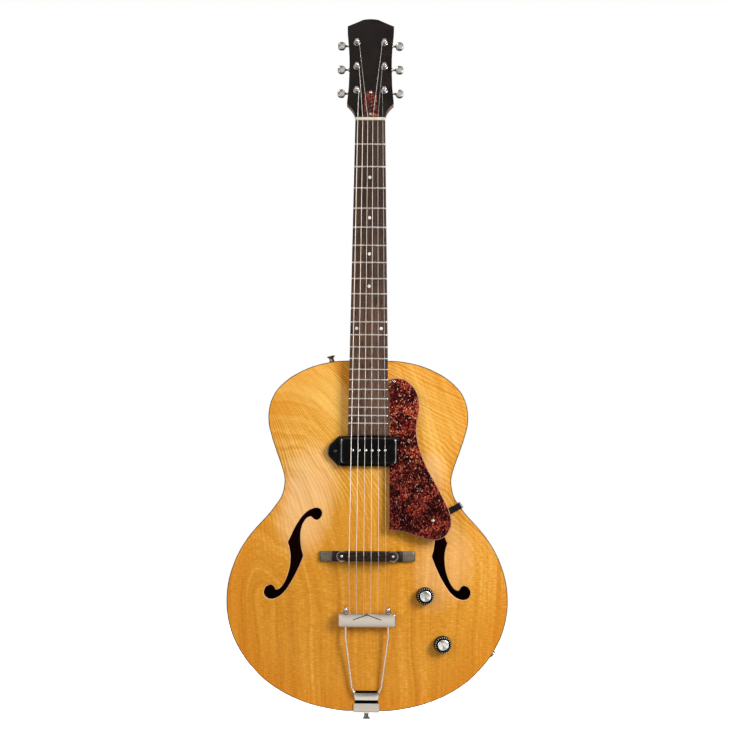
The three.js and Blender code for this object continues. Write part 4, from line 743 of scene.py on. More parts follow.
M = {}
M["front"] = figured_wood("front_wood", lin(192, 119, 24), lin(215, 146, 43), lin(240, 190, 100), (0.95, 0.80, 0.55, 1), 0.37, streak=0.72, curl=1.35, fleck=0.95, coat=0.1)
M["back"] = figured_wood("back_wood", lin(170, 94, 18), lin(206, 134, 40), lin(236, 176, 78), (0.95, 0.82, 0.6, 1), 2.9, streak=0.8, curl=0.5, fleck=0.6, coat=0.35)
M["side"] = figured_wood("side_wood", lin(160, 86, 18), lin(198, 124, 36), lin(224, 160, 66), (1, 1, 1, 1), 5.3, streak=0.7, curl=0.6, side=True, coat=0.35)
M["neck"] = plain_wood("neck_wood", lin(158, 96, 50), lin(206, 144, 88), scale=0.8, rough=0.32, coat=0.6, pores=0.25)
M["inner"] = plain_wood("inner_wood", lin(150, 106, 66), lin(196, 154, 104), scale=0.7, rough=0.75, pores=0.2)
M["inside"] = plain_wood("inside_face", lin(104, 40, 30), lin(140, 62, 44), scale=0.6, rough=0.85, pores=0.3)
M["board"] = plain_wood("fingerboard_rosewood", lin(42, 26, 18), lin(110, 80, 63), scale=0.9, rough=0.55, pores=0.9, painted_shade_to_nut=0.95)
M["bridge"] = plain_wood("bridge_rosewood", lin(15, 7, 4), lin(42, 24, 15), along=(1, 0, 0), scale=1.0, rough=0.4, coat=0.1, pores=0.6, coat_rough=0.3)
# painted sheen: the pad ends are the same rosewood, painted pale grey in place of the broad reflection of the lamps
M["pad"] = plain_wood("bridge_pad_rosewood_painted_sheen", lin(62, 54, 42), lin(122, 112, 94), along=(1, 0, 0), scale=1.0, rough=0.34, coat=0.3, pores=0.6, coat_rough=0.3)
M["veneer"] = plastic("headstock_lacquer", lin(11, 5, 4), lin(24, 13, 9), rough=0.26, scale=45, bumpy=0.00003, coat=0.0, spec=0.2)
M["black"] = plastic("black_plastic", lin(3, 2, 3), lin(5, 4, 5), rough=0.14, coat=0.1, spec=0.35)
M["knob"] = plastic("knob_plastic", lin(3, 2, 3), lin(6, 5, 6), rough=0.4, scale=220, spec=0.08)
M["white"] = plastic("white_ticks", lin(214, 211, 200), lin(232, 229, 220), rough=0.35, scale=900)
M["binding"] = plastic("edge_binding", lin(58, 46, 28), lin(82, 68, 44), rough=0.4, spec=0.2)
M["ply"] = plastic("guard_edge", lin(166, 112, 92), lin(198, 146, 120), rough=0.3, scale=300)
M["eased"] = plain_wood("eased_edge", lin(214, 170, 128), lin(238, 204, 166), scale=1.0, rough=0.5, pores=0.1)
M["bone"] = plastic("bone", lin(198, 184, 162), lin(222, 208, 186), rough=0.34, scale=380, bumpy=0.00004)
M["pearl"] = plastic("dot_pearl", lin(206, 202, 190), lin(236, 233, 226), rough=0.22, scale=520)
M["tortoise"] = tortoise("tortoise_sheet", 0.92)
M["cover"] = tortoise("cover_tortoise", 1.5, 1.2, 0.62)
M["nickel"] = plated("nickel", (0.70, 0.675, 0.64, 1), 0.14, 0.12)
M["button"] = plated("button_nickel", (0.645, 0.60, 0.565, 1), 0.24, 0.12)
M["satin"] = plated("satin_nickel", (0.80, 0.73, 0.645, 1), 0.34, 0.12, 0.5, brushed=(60, 900, 1400), dull_wear_and_painted_reflection=(0.64, 0.58, 0.52, 1))
M["wire"] = plated("fret_nickel", (0.86, 0.78, 0.73, 1), 0.24, 0.1, 0.4)
# painted reflection: chrome darkened in place of the dark surroundings it mirrors, on the strap buttons, key shafts and
# shaft sleeves
M["chrome_painted_dark"] = plated("chrome_painted_dark", (0.26, 0.26, 0.25, 1), 0.12, 0.08, 0.5)
M["steel"] = plated("machined_steel", (0.56, 0.56, 0.57, 1), 0.32, 0.12, 0.6)
M["plain"] = plated("plain_string", (0.93, 0.87, 0.82, 1), 0.44, 0.06, 0.1)
M["wound"] = wound("wound_string", (0.84, 0.77, 0.68, 1), 0.0007, (0.42, 0.35, 0.28, 1))
M["pole"] = plated("pole_nickel", (0.86, 0.84, 0.80, 1), 0.2, 0.1, 0.4)
# partly the nickel's own warm colour, partly painted reflection: the peach tint stands in for the amber top mirrored in
# the rods
M["rod"] = plated("rod_nickel", (0.98, 0.82, 0.64, 1), 0.26, 0.08, 0.3)
M["steel_bright"] = plated("stud_steel", (0.74, 0.74, 0.74, 1), 0.24, 0.1, 0.4)
M["brass"] = plated("ball_end_brass", (0.82, 0.66, 0.38, 1), 0.28, 0.12, 0.4)
M["dark_screw"] = plated("black_screw", (0.10, 0.10, 0.10, 1), 0.26, 0.1, 0.4)
# painted shade: flat black laid where grooves, gaps and the jack's socket stand in shadow
M["engraved"] = plastic("engraved_line", lin(4, 3, 3), lin(8, 6, 6), rough=0.6, spec=0.03)
# painted highlight: light grey plastic for the pickup cover's end facets, in place of the lamps' reflection
M["edge_shine"] = plastic("painted_highlight_edge", lin(120, 120, 122), lin(168, 168, 168), rough=0.16, spec=0.5)
# painted reflection: nickel darkened for the bushings and cap nuts, in place of the dark surroundings they mirror
M["bushing"] = plated("tuner_bushing_nickel", (0.42, 0.41, 0.39, 1), 0.12, 0.1)
# a paler grey for the faces round the strap's bend
M["worn"] = plastic("worn_paint", lin(96, 92, 86), lin(168, 162, 152), rough=0.3, scale=420)
M["bracket"] = Mat("black_paint")
_c = M["bracket"]
_w = _c.noise(scale=160, detail=5, rough=0.65)
M["bracket"] = _c.done(_c.mix(_c.span(_w, 0.64, 0.74), lin(9, 8, 6), lin(40, 37, 32)), _c.span(_w, 0.3, 0.7, 0.22, 0.42), _c.bump(_w, 0.00003, 0.4), Specular_IOR_Level=0.25)

# ----------------------------------------------------------------------- body

def ring_faces(a, b, n):
    return [[a + j, b + j, b + (j + 1) % n, a + (j + 1) % n] for j in range(n)]


def carved_plate(name, node, outer_y, inner_y, edge_y, sign, holes, mat, slot):
    """A carved plate: a triangulated skin on each face, walls at the edge and holes."""
    border = inset(OUTLINE, 1.2)
    loops = [border] + [h for h, _ in holes]
    grid = []
    step = 5.2
    rows = np.arange(-860, -345, step * 0.866)
    for i, z in enumerate(rows):
        for x in np.arange(-204, 204, step) + (i % 2) * step / 2:
            grid.append((x, z))
    grid = np.array(grid)
    keep = inside(grid, inset(OUTLINE, 4.4))
    for h, _ in holes:
        keep &= ~inside(grid, h)
    grid = grid[keep]
    for loop in loops[1:]:
        near = np.array([np.min(np.hypot(*(loop - g).T)) for g in grid])
        grid = grid[near > 2.4]
    verts2, edges = [], []
    for loop in loops:
        s = len(verts2)
        verts2 += [tuple(p) for p in loop]
        edges += [(s + j, s + (j + 1) % len(loop)) for j in range(len(loop))]
    verts2 += [tuple(p) for p in grid]
    got = delaunay_2d_cdt([Vector(p) for p in verts2], edges, [], 0, 1e-6, True)
    place = {}
    for i, olds in enumerate(got[3]):
        for o in olds:
            place[o] = i
    P = np.array([list(v) for v in got[0]])
    tri = np.array([list(f) for f in got[2] if len(f) == 3])
    mid = P[tri].mean(1)
    ok = inside(mid, border)
    for h, _ in holes:
        ok &= ~inside(mid, h)
    tri = tri[ok]
    n = len(P)
    yo, yi = outer_y(P[:, 0], P[:, 1]), inner_y(P[:, 0], P[:, 1])
    V = [A(p[0], y, p[1]) for p, y in zip(P, yo)] + [A(p[0], y, p[1]) for p, y in zip(P, yi)]
    F = [list(t) for t in tri] + [[a + n, c + n, b + n] for a, b, c in tri]
    Mt = [0] * len(tri) + [1] * len(tri)
    start = 0
    for k, loop in enumerate(loops):
        m = len(loop)
        first = [place[start + j] for j in range(m)]
        start += m
        walls = []
        if k == 0:
            steps = [(1.2, -sign * 2.65), (0.0, -sign * 2.65), (0.0, -sign * 3.95)]
            for d, dy in steps:
                q = inset(OUTLINE, d)
                walls.append([A(p[0], edge_y + dy, p[1]) for p in q])
            mats = [0, 0, 0, 0]
        else:
            edge = holes[k - 1][1]
            ytop = outer_y(edge[:, 0], edge[:, 1])
            ybot = inner_y(edge[:, 0], edge[:, 1])
            for f, dy in ((0.45, 0.07), (0.8, 0.32), (1.0, 0.75)):
                q = loop + (edge - loop) * f
                walls.append([A(p[0], y - sign * dy, p[1]) for p, y in zip(q, ytop)])
            walls.append([A(p[0], y + sign * 0.25, p[1]) for p, y in zip(edge, ybot)])
            mats = [0, 2, 2, 2, 2]
        prev = first
        for ring, mt in zip(walls, mats):
            s = len(V)
            V += ring
            ids = list(range(s, s + m))
            F += [[prev[j], ids[j], ids[(j + 1) % m], prev[(j + 1) % m]] for j in range(m)]
            Mt += [mt] * m
            prev = ids
        last = [i + n for i in first]
        F += [[prev[j], last[j], last[(j + 1) % m], prev[(j + 1) % m]] for j in range(m)]
        Mt += [mats[-1]] * m
    sh = Shell()
    sh.add(V, F, Mt)
    o = sh.make(name, [mat, M["inside"], M["eased"]], node=node, slot=slot, angle=32)
    co = np.zeros(len(o.data.vertices) * 3)
    o.data.vertices.foreach_get("co", co)
    co = co.reshape(-1, 3) * 1000
    at = o.data.attributes.new("rise", "FLOAT", "POINT")
    at.data.foreach_set("value", share(co[:, 0], co[:, 2]).astype(np.float32))
    return o


def circle(x, z, r, n=40):
    return np.array([[x + r * math.cos(2 * math.pi * j / n), z + r * math.sin(2 * math.pi * j / n)] for j in range(n)])


hole = cornered(SOUND_HOLE, HOLE_CORNERS, 1.3)
holes = []
for s in (1, -1):
    edge = hole * A(s, 1)
    holes.append((inset(edge, -0.9), edge))
rect = np.array([[-41, -18.5], [41, -18.5], [41, 18.5], [-41, 18.5]]) + A(PICKUP_AT_X, PICKUP_Z)
rect = resample(rect, 80)
holes.append((inset(rect, -0.4), rect))
for c in (VOLUME, TONE):
    holes.append((circle(*c, 5.2), circle(*c, 4.9)))
carved_plate("front_plate_finish", "top_plate", front_y, inner_front_y, RIM_FRONT, -1, holes, M["front"], "front_wood")
carved_plate("back_plate_finish", "back_plate", back_y, inner_back_y, RIM_BACK, 1, [], M["back"], "back_wood")


def follow(section, name, mat, node=None, slot=None):
    """A band round the body from a closed section of [inset, y]."""
    cols = [inset(OUTLINE, d) if d else OUTLINE for d, _ in section]
    rings = [[A(c[j][0], y, c[j][1]) for c, (_, y) in zip(cols, section)] for j in range(len(OUTLINE))]
    v, f = loft(rings, loop=True)
    return Shell().add(v, f).make(name, mat, node=node, slot=slot, angle=50)


for name, y, s in (("front_edge_binding", RIM_FRONT, 1), ("back_edge_binding", RIM_BACK, -1)):
    follow([(1.16, y + s * 0.02), (0.62, y + s * 0.03), (0.26, y + s * 0.2), (0.07, y + s * 0.5), (0, y + s * 0.95), (0, y + s * 2.6), (1.16, y + s * 2.6)], name, M["binding"], slot="black_plastic")
follow([(0, RIM_FRONT + PLATE + 0.02), (0, RIM_BACK - PLATE - 0.02), (2.4, RIM_BACK - PLATE - 0.02), (2.4, RIM_FRONT + PLATE + 0.02)], "rim_finish", [M["side"]], node="rim", slot="side_wood")

# ----------------------------------------------------------------------- neck
def neck_section(s, half, front, back, p, q, tilt=1.0, count=30, zmin=-1e9):
    """Ring round the neck: flat front, curved back. tilt 1 is square to the neck."""
    a = NECK_TILT * tilt
    down = A(0, math.cos(a), -math.sin(a))
    base = on_neck(0, 0, s)
    ring = []
    for x in np.linspace(-half, half, 7):
        ring.append(base + A(x, 0, 0) + down * front)
    for j in range(1, count):
        t = math.pi * j / count
        c = math.cos(t)
        x = half * math.copysign(abs(c) ** p, c)
        ring.append(base + A(x, 0, 0) + down * (front + 0.8 + (back - front - 0.8) * math.sin(t) ** q))
    for r in ring:
        r[2] = max(r[2], zmin)
    return ring


FACE = BOARD_THICKNESS + 0.02
rings = []
for s in list(np.arange(-4.7, 300, 12.3)) + [300 + 51 * (1 - (1 - k / 26) ** 1.7) for k in range(27)]:
    u = max(0.0, min(1.0, (s - 303) / 48.4))
    back = 21 + 2.9 * max(0, min(s, 300)) / 300 + 63.5 * (1 - math.sqrt(max(0, 1 - u**2.3)))
    p = 0.9 - 0.38 * u
    q = 0.82 - 0.1 * u
    half = board_half(max(s, 0)) - 0.15
    ring = neck_section(s, half, FACE, back, p, q, 1 - u, zmin=-349.9)
    if u > 0:
        centre_y = on_neck(0, 0, s)[1]
        for r in ring:
            deep = max(0.0, (r[1] - centre_y - 22) / 62)
            r[0] *= 1 - 0.36 * min(1, deep) ** 1.2 * u
    rings.append(ring)
neck_solids = [loft(rings)]


def head_ring(v, half, back, count=30):
    ring = []
    for x in np.linspace(-half, half, 7):
        ring.append(on_head(x, VENEER + 0.15, v))
    for j in range(1, count):
        t = math.pi * j / count
        c = math.cos(t)
        ring.append(on_head(half * math.copysign(abs(c) ** 0.75, c), VENEER + 1 + (back - VENEER - 1) * math.sin(t) ** 0.7, v))
    return ring


control = [
    neck_section(6, board_half(6) - 0.15, FACE, 21.0, 0.9, 0.82),
    neck_section(-4.0, NUT_WIDTH / 2 - 0.15, FACE, 21.0, 0.9, 0.82),
    head_ring(7, 22.2, 18.2),
    head_ring(17, 25.2, 15.6),
    head_ring(28, 27.6, 14.1),
    head_ring(37, 28.4, 13.4),
]
cube = np.array(control)
paths = [smooth_path(cube[:, j], 2.2) for j in range(cube.shape[1])]
count = min(len(p) for p in paths)
paths = [resample(p, count, closed=False) for p in paths]
neck_solids.append(loft([[p[i] for p in paths] for i in range(count)]))

half_head = smooth_path(HEAD_OUTLINE[:4], 1.2)
edge_run = smooth_path(HEAD_OUTLINE[3:14], 1.5)
top_run = smooth_path(HEAD_OUTLINE[13:], 1.5)
right_head = np.vstack([half_head[:-1], edge_run[:-1], top_run])
HEAD_LOOP = np.vstack([right_head, (right_head[:-1] * A(-1, 1))[::-1]])
neck_solids.append(
    slab([(HEAD_LOOP, VENEER + 0.02), (HEAD_LOOP, HEAD_THICKNESS - 1.3), (inset(HEAD_LOOP, 0.35), HEAD_THICKNESS - 0.5), (inset(HEAD_LOOP, 1.3), HEAD_THICKNESS)], on_head)
)
rings = []
for z in np.linspace(-349.6, -457.4, 44):
    s = -z / math.cos(NECK_TILT)
    h = board_half(s) - 0.4
    y = on_neck(0, FACE, s)[1]
    xs = np.linspace(h, -h, 9)
    low = [max(float(front_y(x, z)) + 0.1, y + 0.6) if z < -352 else RIM_FRONT for x in xs]
    rings.append([A(-h, y, z), A(h, y, z)] + [A(x, l, z) for x, l in zip(xs, low)])
neck_solids.append(loft(rings))


def joined(solids, name):
    """One surface from several overlapping closed ones."""
    objs = []
    for k, (v, f) in enumerate(solids):
        o = Shell().add(v, f).make(f"{name}_{k}", [], ride=False)
        objs.append(o)
    base = objs[0]
    for o in objs[1:]:
        mod = base.modifiers.new("join", "BOOLEAN")
        mod.operation, mod.solver, mod.object = "UNION", "EXACT", o
    dg = bpy.context.evaluated_depsgraph_get()
    mesh = bpy.data.meshes.new_from_object(base.evaluated_get(dg))
    for o in objs:
        bpy.data.objects.remove(o)
    return mesh


def adopt(mesh, name, mats, node, angle=30, body="root"):
    bm = bmesh.new()
    bm.from_mesh(mesh)
    bmesh.ops.remove_doubles(bm, verts=bm.verts, dist=2e-6)
    bmesh.ops.dissolve_degenerate(bm, dist=2e-6, edges=bm.edges)
    big = [f for f in bm.faces if len(f.verts) > 4]
    bmesh.ops.triangulate(bm, faces=big)
    bmesh.ops.recalc_face_normals(bm, faces=bm.faces)
    bm.to_mesh(mesh)
    bm.free()
    mesh.name = name
    mesh.materials.clear()
    mesh.polygons.foreach_set("use_smooth", [True] * len(mesh.polygons))
    mesh.set_sharp_from_angle(angle=angle * D)
    for m in mats:
        mesh.materials.append(m)
    mesh.polygons.foreach_set("material_index", [0] * len(mesh.polygons))
    o = bpy.data.objects.new(name, mesh)
    bpy.context.scene.collection.objects.link(o)
    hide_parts(node)
    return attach(o, body)


adopt(joined(neck_solids, "neck_part"), "neck_finish", [M["neck"]], "neck")

# ---------------------------------------------------------------- fingerboard
xs_of = lambda h: np.concatenate([[-h, -h + 0.12, -h + 0.45], np.linspace(-h + 1.2, h - 1.2, 15), [h - 0.45, h - 0.12, h]])
ease = [0.75, 0.34, 0.1] + [0] * 15 + [0.1, 0.34, 0.75]
rings = []
for s in [0.1, 0.3] + list(np.linspace(8, BOARD_LENGTH - 8, 40)) + [BOARD_LENGTH - 0.5, BOARD_LENGTH]:
    h = board_half(s)
    end = 0.3 if s in (BOARD_LENGTH,) else 0.0
    top = [on_neck(x, board_drop(x) + e + end, s) for x, e in zip(xs_of(h), ease)]
    rings.append(top + [on_neck(h, BOARD_THICKNESS, s), on_neck(-h, BOARD_THICKNESS, s)])
v, f = loft(rings)
Shell().add(v, f).make("fingerboard_finish", M["board"], node="fingerboard", slot="rosewood", angle=40)

sh = Shell()
for n in range(1, FRET_COUNT + 1):
    s0 = fret_at(n)
    h = board_half(s0) - 0.15
    prof = [(-1.15, 0.0), (-1.12, 0.3), (-0.86, 0.72), (-0.45, 0.97), (0, 1.05), (0.45, 0.97), (0.86, 0.72), (1.12, 0.3), (1.15, 0.0), (0.5, -0.4), (-0.5, -0.4)]
    rings = []
    for x, k in zip([-h, -h + 0.35, -h + 0.9, -h + 1.5] + list(np.linspace(-h + 3, h - 3, 9)) + [h - 1.5, h - 0.9, h - 0.35, h],
                    [0.1, 0.5, 0.88, 1] + [1] * 9 + [1, 0.88, 0.5, 0.1]):
        rings.append([on_neck(x, board_drop(x) - max(u, -0.4) * (k if u > 0 else 1) - 0.02, s0 + w) for w, u in prof])
    v, f = loft(rings)
    sh.add(v, f)
sh.make("fret_wires", M["wire"], node="frets", slot="fret_wire", angle=50)

sh = Shell()
for n, xs in ((3, [0]), (5, [0]), (7, [0]), (9, [0]), (12, [-17.7, 17.7])):
    s0 = (fret_at(n) + fret_at(n - 1)) / 2
    for x in xs:
        out = unit(NECK_OUT + A(x / BOARD_RADIUS, 0, 0))
        v, f = turned([(0, -0.6), (2.35, -0.6), (2.35, 0.02), (2.2, 0.06), (1.2, 0.08), (0, 0.085)], 36, on_neck(x, board_drop(x), s0), out)
        sh.add(v, f)
for n, off in ((3, 0), (5, 0), (7, 0), (9, 0), (12, -3), (12, 3)):
    s0 = (fret_at(n) + fret_at(n - 1)) / 2 + off
    h = board_half(s0)
    v, f = turned([(0, -0.5), (1.0, -0.5), (1.0, 0.015), (0, 0.03)], 20, on_neck(-h, 3.6, s0), (-1, 0, 0))
    sh.add(v, f)
sh.make("position_dots", M["pearl"], slot="nut_bone")

# nut, with a shallow groove for each string
def string_k(i):
    return (i - 3.5) / -2.5


nut_x = lambda i: string_k(i) * SPREAD_NUT / 2
nut_edge = lambda x: max(0.0, (abs(x) - 9) / 12.8) * 0.6


def nut_top(x):
    depth = -1.5 - 0.62 + nut_edge(x)
    for i in range(1, 7):
        r = STRING_R[i - 1]
        d = abs(x - nut_x(i))
        if d < r + 0.22:
            depth = -1.85 + nut_edge(x) + 0.02 - (0.12 if d > r else 0)
    return depth


stations = sorted(set([round(x, 3) for x in np.linspace(-NUT_WIDTH / 2, NUT_WIDTH / 2, 60)] + [round(nut_x(i) + e, 3) for i in range(1, 7) for r in [STRING_R[i - 1]] for e in (-r - 0.24, -r - 0.2, -r + 0.02, 0, r - 0.02, r + 0.2, r + 0.24)]))
rings = []
for x in stations:
    t = nut_top(x)
    rnd = 0.5 if abs(abs(x) - NUT_WIDTH / 2) < 1e-3 else 0
    rings.append([on_neck(x, 6.4, -0.05), on_neck(x, t + 0.75 + rnd, -0.05), on_neck(x, t + 0.28 + rnd, -0.5), on_neck(x, t + 0.1 + rnd, -1.6), on_neck(x, t + rnd, -3.0), on_neck(x, t + 0.5 + rnd, -4.1), on_neck(x, t + 1.6 + rnd, -4.75), on_neck(x, 6.4, -4.75)])
v, f = loft(rings)
Shell().add(v, f).make("nut_finish", M["bone"], node="nut", slot="nut_bone", angle=40)

# ------------------------------------------------------------------ headstock
v, f = slab([(HEAD_LOOP, VENEER), (HEAD_LOOP, 0.55), (inset(HEAD_LOOP, 0.18), 0.16), (inset(HEAD_LOOP, 0.6), 0.0)], on_head)
Shell().add(v, f).make("headstock_face", M["veneer"], node="headstock_veneer", slot="headstock_black", angle=30)
cover = smooth_path([[0, 44], [4.6, 42.3], [7.6, 38], [9, 32], [9.9, 16], [10.6, 1]], 1.0)
cover = np.vstack([cover, (cover[1:] * A(-1, 1))[::-1]])
v, f = slab([(cover, -0.05), (cover, -1.6), (inset(cover, 0.45), -2.15), (inset(cover, 0.9), -2.3)], on_head)
Shell().add(v, f).make("truss_rod_cover_finish", M["cover"], node="truss_rod_cover", slot="tortoise_plastic", angle=30)
sh = Shell()
for at, r in ((39.6, 2.0), (4.9, 1.8)):
    screw(sh, on_head(0, -2.3, at), -HEAD_BACK, r, 0.8)
sh.make("truss_cover_screws", M["nickel"], slot="nickel", angle=40)

# --------------------------------------------------------------------- tuners
def banded(sh, loops, place, mats, close=True):
    """Loops joined like slab(), with a material for each band and the two ends."""
    v, f = slab(loops, place)
    n = len(loops[0][0])
    m = []
    for k in range(len(loops) - 1):
        m += [mats[k + 1]] * n
    m += [mats[0], mats[-1]]
    return sh.add(v, f, m)


def rounded(points, radii, step=0.5):
    """A closed polygon with its corners turned into arcs."""
    P = np.asarray(points, float)
    n = len(P)
    radii = radii if hasattr(radii, "__len__") else [radii] * n
    out = []
    for i in range(n):
        a, b, c = P[i - 1], P[i], P[(i + 1) % n]
        u, w = unit(a - b), unit(c - b)
        ang = math.acos(max(-1, min(1, float(u @ w))))
        r = radii[i]
        if r <= 0 or abs(ang - math.pi) < 0.02:
            out.append(b)
            continue
        cut = min(r / math.tan(ang / 2), 0.49 * np.linalg.norm(a - b), 0.49 * np.linalg.norm(c - b))
        r = cut * math.tan(ang / 2)
        centre = b + unit(u + w) * (r / math.sin(ang / 2))
        p, q = b + u * cut, b + w * cut
        t0 = math.atan2(*(p - centre)[::-1])
        t1 = math.atan2(*(q - centre)[::-1])
        d = (t1 - t0 + math.pi) % (2 * math.pi) - math.pi
        k = max(2, int(abs(d) * r / step) + 1)
        for j in range(k + 1):
            t = t0 + d * j / k
            out.append(centre + r * A(math.cos(t), math.sin(t)))
    return np.array(out)


def bent(points, radii, step=1.0):
    """An open 3-D path with its corners turned into arcs."""
    P = [np.asarray(p, float) for p in points]
    radii = radii if hasattr(radii, "__len__") else [radii] * len(P)
    out = [P[0]]
    for i in range(1, len(P) - 1):
        a, b, c = P[i - 1], P[i], P[i + 1]
        u, w = unit(a - b), unit(c - b)
        ang = math.acos(max(-1, min(1, float(u @ w))))
        if abs(ang - math.pi) < 0.01 or radii[i] <= 0:
            out.append(b)
            continue
        cut = min(radii[i] / math.tan(ang / 2), 0.48 * np.linalg.norm(a - b), 0.48 * np.linalg.norm(c - b))
        r = cut * math.tan(ang / 2)
        centre = b + unit(u + w) * (r / math.sin(ang / 2))
        p = b + u * cut - centre
        q = b + w * cut - centre
        total = math.acos(max(-1, min(1, float(unit(p) @ unit(q)))))
        k = max(3, int(total * r / step) + 1)
        for j in range(k + 1):
            t = j / k
            s = math.sin(total)
            out.append(centre + (p * math.sin((1 - t) * total) + q * math.sin(t * total)) / s)
    out.append(P[-1])
    # even spacing, so that smooth shading has enough rings on the straights
    keep = [out[0]]
    for a, b in zip(out, out[1:]):
        k = max(1, int(np.linalg.norm(b - a) / 6))
        keep += [a + (b - a) * j / k for j in range(1, k + 1)]
    return np.array(keep)


STRING_MAT = lambda i: M["wound"] if i > 3 else M["plain"]
STRING_SLOT = lambda i: "string_wound" if i > 3 else "string_steel"
TUNERS = [(1, 1, 0), (2, 1, 1), (3, 1, 2), (4, -1, 2), (5, -1, 1), (6, -1, 0)]
TAKE_OFF = {}
for i, side, row in TUNERS:
    V0 = POST_V[row]
    put = lambda lx, depth, lv: on_head(side * (POST_X + lx), depth, V0 + lv)
    r = STRING_R[i - 1]
    # bushing pressed into the face
    sh = Shell()
    v, f = ringed([(3.1, 0.4), (5.25, 0.4), (5.3, -0.15), (5.05, -0.62), (4.5, -0.92), (3.9, -1.02), (3.45, -0.85), (3.15, -0.4)], 44, on_head(side * POST_X, 0, V0), HEAD_BACK)
    sh.add(v, f)
    sh.make(f"tuner_bushing_{i}", M["bushing"], slot="nickel", angle=50)
    # post with its waist, slot and worm wheel
    waist = 2.38
    prof = [(0, 9.0), (1.2, 9.0), (1.5, 8.75), (2.35, 8.98), (2.75, 8.85), (2.98, 8.5), (3.0, 7.9), (2.86, 7.3), (2.6, 6.7), (waist, 6.0), (waist, 4.6), (2.5, 3.9), (2.8, 3.1), (3.0, 2.5), (3.0, 0), (3.0, -18.6)]
    sh = Shell()
    origin = on_head(side * POST_X, 0, V0)
    v, f = turned(prof, 40, origin, -HEAD_BACK)
    sh.add(v, f)
    v, f = turned([(0, -18.5), (3.1, -18.5), (3.5, -18.8), (3.5, -23.9), (3.1, -24.2), (0, -24.2)], 84, origin, -HEAD_BACK, wobble=lambda r_, h, a: r_ - (0.42 if math.cos(14 * a) < -0.15 else 0.0) if r_ > 3.3 else r_)
    sh.add(v, f)
    sh.make(f"tuner_post_{i}_turned", M["nickel"], body=f"post_{i}", node=f"tuner_post_{i}", slot="nickel", angle=45)
    # windings: from the cross hole down to where the string leaves
    C = A(side * POST_X, V0)
    k = string_k(i)
    xn = nut_x(i)
    P = A(xn, 1.0)
    h_low = 2.9 + r
    radius = lambda h: (np.interp(h, [2.5, 3.1, 3.9, 4.6, 6.0, 6.7, 7.3], [3.0, 2.8, 2.5, waist, waist, 2.6, 2.86]) + r)
    R = float(radius(h_low))
    to = C - P
    dist = float(np.linalg.norm(to))
    beta = math.asin(R / dist)
    for sgn in (1, -1):
        c_, s_ = math.cos(sgn * beta), math.sin(sgn * beta)
        d_ = unit(to)
        d_ = A(d_[0] * c_ - d_[1] * s_, d_[0] * s_ + d_[1] * c_)
        T = P + d_ * math.sqrt(dist**2 - R**2)
        if abs(T[0]) < abs(C[0]):
            break
    TAKE_OFF[i] = on_head(T[0], -h_low, T[1])
    start = math.atan2(T[1] - C[1], T[0] - C[0])
    # going on round the post, away from the nut
    way = 1 if (A(-(T - C)[1], (T - C)[0]) @ d_) > 0 else -1
    turns = [4.6, 4.3, 3.6, 2.7, 2.4, 2.2][i - 1]
    pitch = min(2.06 * r, 3.1 / turns) if r > 0.2 else max(2.06 * r, 0.62)
    path = []
    steps = int(turns * 20)
    for j in range(steps + 1):
        t = j / 20
        h = h_low + pitch * t
        a = start + way * 2 * math.pi * t
        q = float(radius(h))
        path.append(on_head(C[0] + q * math.cos(a), -h, C[1] + q * math.sin(a)))
    a_end = start + way * 2 * math.pi * turns
    h_end = min(h_low + pitch * turns + 0.1, 6.0)
    path.append(on_head(C[0] + 0.4 * waist * math.cos(a_end + way * 0.9), -h_end, C[1] + 0.4 * waist * math.sin(a_end + way * 0.9)))
    v, f = tube(path, r, 10 if r > 0.3 else 8)
    sh = Shell().add(v, f)
    # the cut end, standing out of the hole
    a_out = a_end + math.pi * 0.9
    v, f = tube([on_head(C[0] + q * math.cos(a_out), -h_end, C[1] + q * math.sin(a_out)) for q in (0.2, 2.4, 4.6)], r, 8)
    sh.add(v, f)
    sh.make(f"string_{i}_winding", STRING_MAT(i), body=f"post_{i}", slot=STRING_SLOT(i), angle=60)
    # key: worm, shaft, collar, round button
    sh = Shell()
    axis = A(side, 0, 0)
    at = put(0, KEY_DEPTH, KEY_RISE)
    v, f = turned([(0, -6.6), (1.5, -6.6), (1.8, -6.3), (1.8, -4.2)], 24, at, axis)
    sh.add(v, f)
    prof = []
    for j in range(29):
        prof.append((1.8 if j % 2 else 1.3, -4.2 + j * 0.3))
    prof = prof + [(1.8, 4.4), (1.8, 12.4), (1.5, 12.9), (1.35, 13.6), (1.35, 15.0), (1.7, 15.8), (2.0, 16.8), (2.1, 17.8), (1.2, 18.0), (0, 18.0)]
    v, f = turned([(0, -4.2)] + prof, 28, at, axis)
    sh.add(v, f, 1)
    disc = np.array([[5.75 * math.copysign(abs(math.cos(a)) ** 0.86, math.cos(a)), 6.15 * math.copysign(abs(math.sin(a)) ** 0.86, math.sin(a))] for a in np.linspace(0, 2 * math.pi, 64, endpoint=False)])
    v, f = slab([(inset(disc, 1.9), -2.86), (inset(disc, 1.35), -3.1), (inset(disc, 0.95), -3.24), (inset(disc, 0.5), -3.05), (inset(disc, 0.15), -2.6), (disc, -1.9), (disc, 1.9), (inset(disc, 0.15), 2.6), (inset(disc, 0.5), 3.05), (inset(disc, 0.95), 3.24), (inset(disc, 1.35), 3.1), (inset(disc, 1.9), 2.86)], lambda a, d, b: at + axis * (BUTTON_OUT + a) + HEAD_BACK * d + HEAD_UP * b)
    sh.add(v, f)
    sh.make(f"tuner_key_{i}_turned", [M["button"], M["chrome_painted_dark"]], body=f"key_{i}", node=f"tuner_key_{i}", slot="nickel", angle=42)
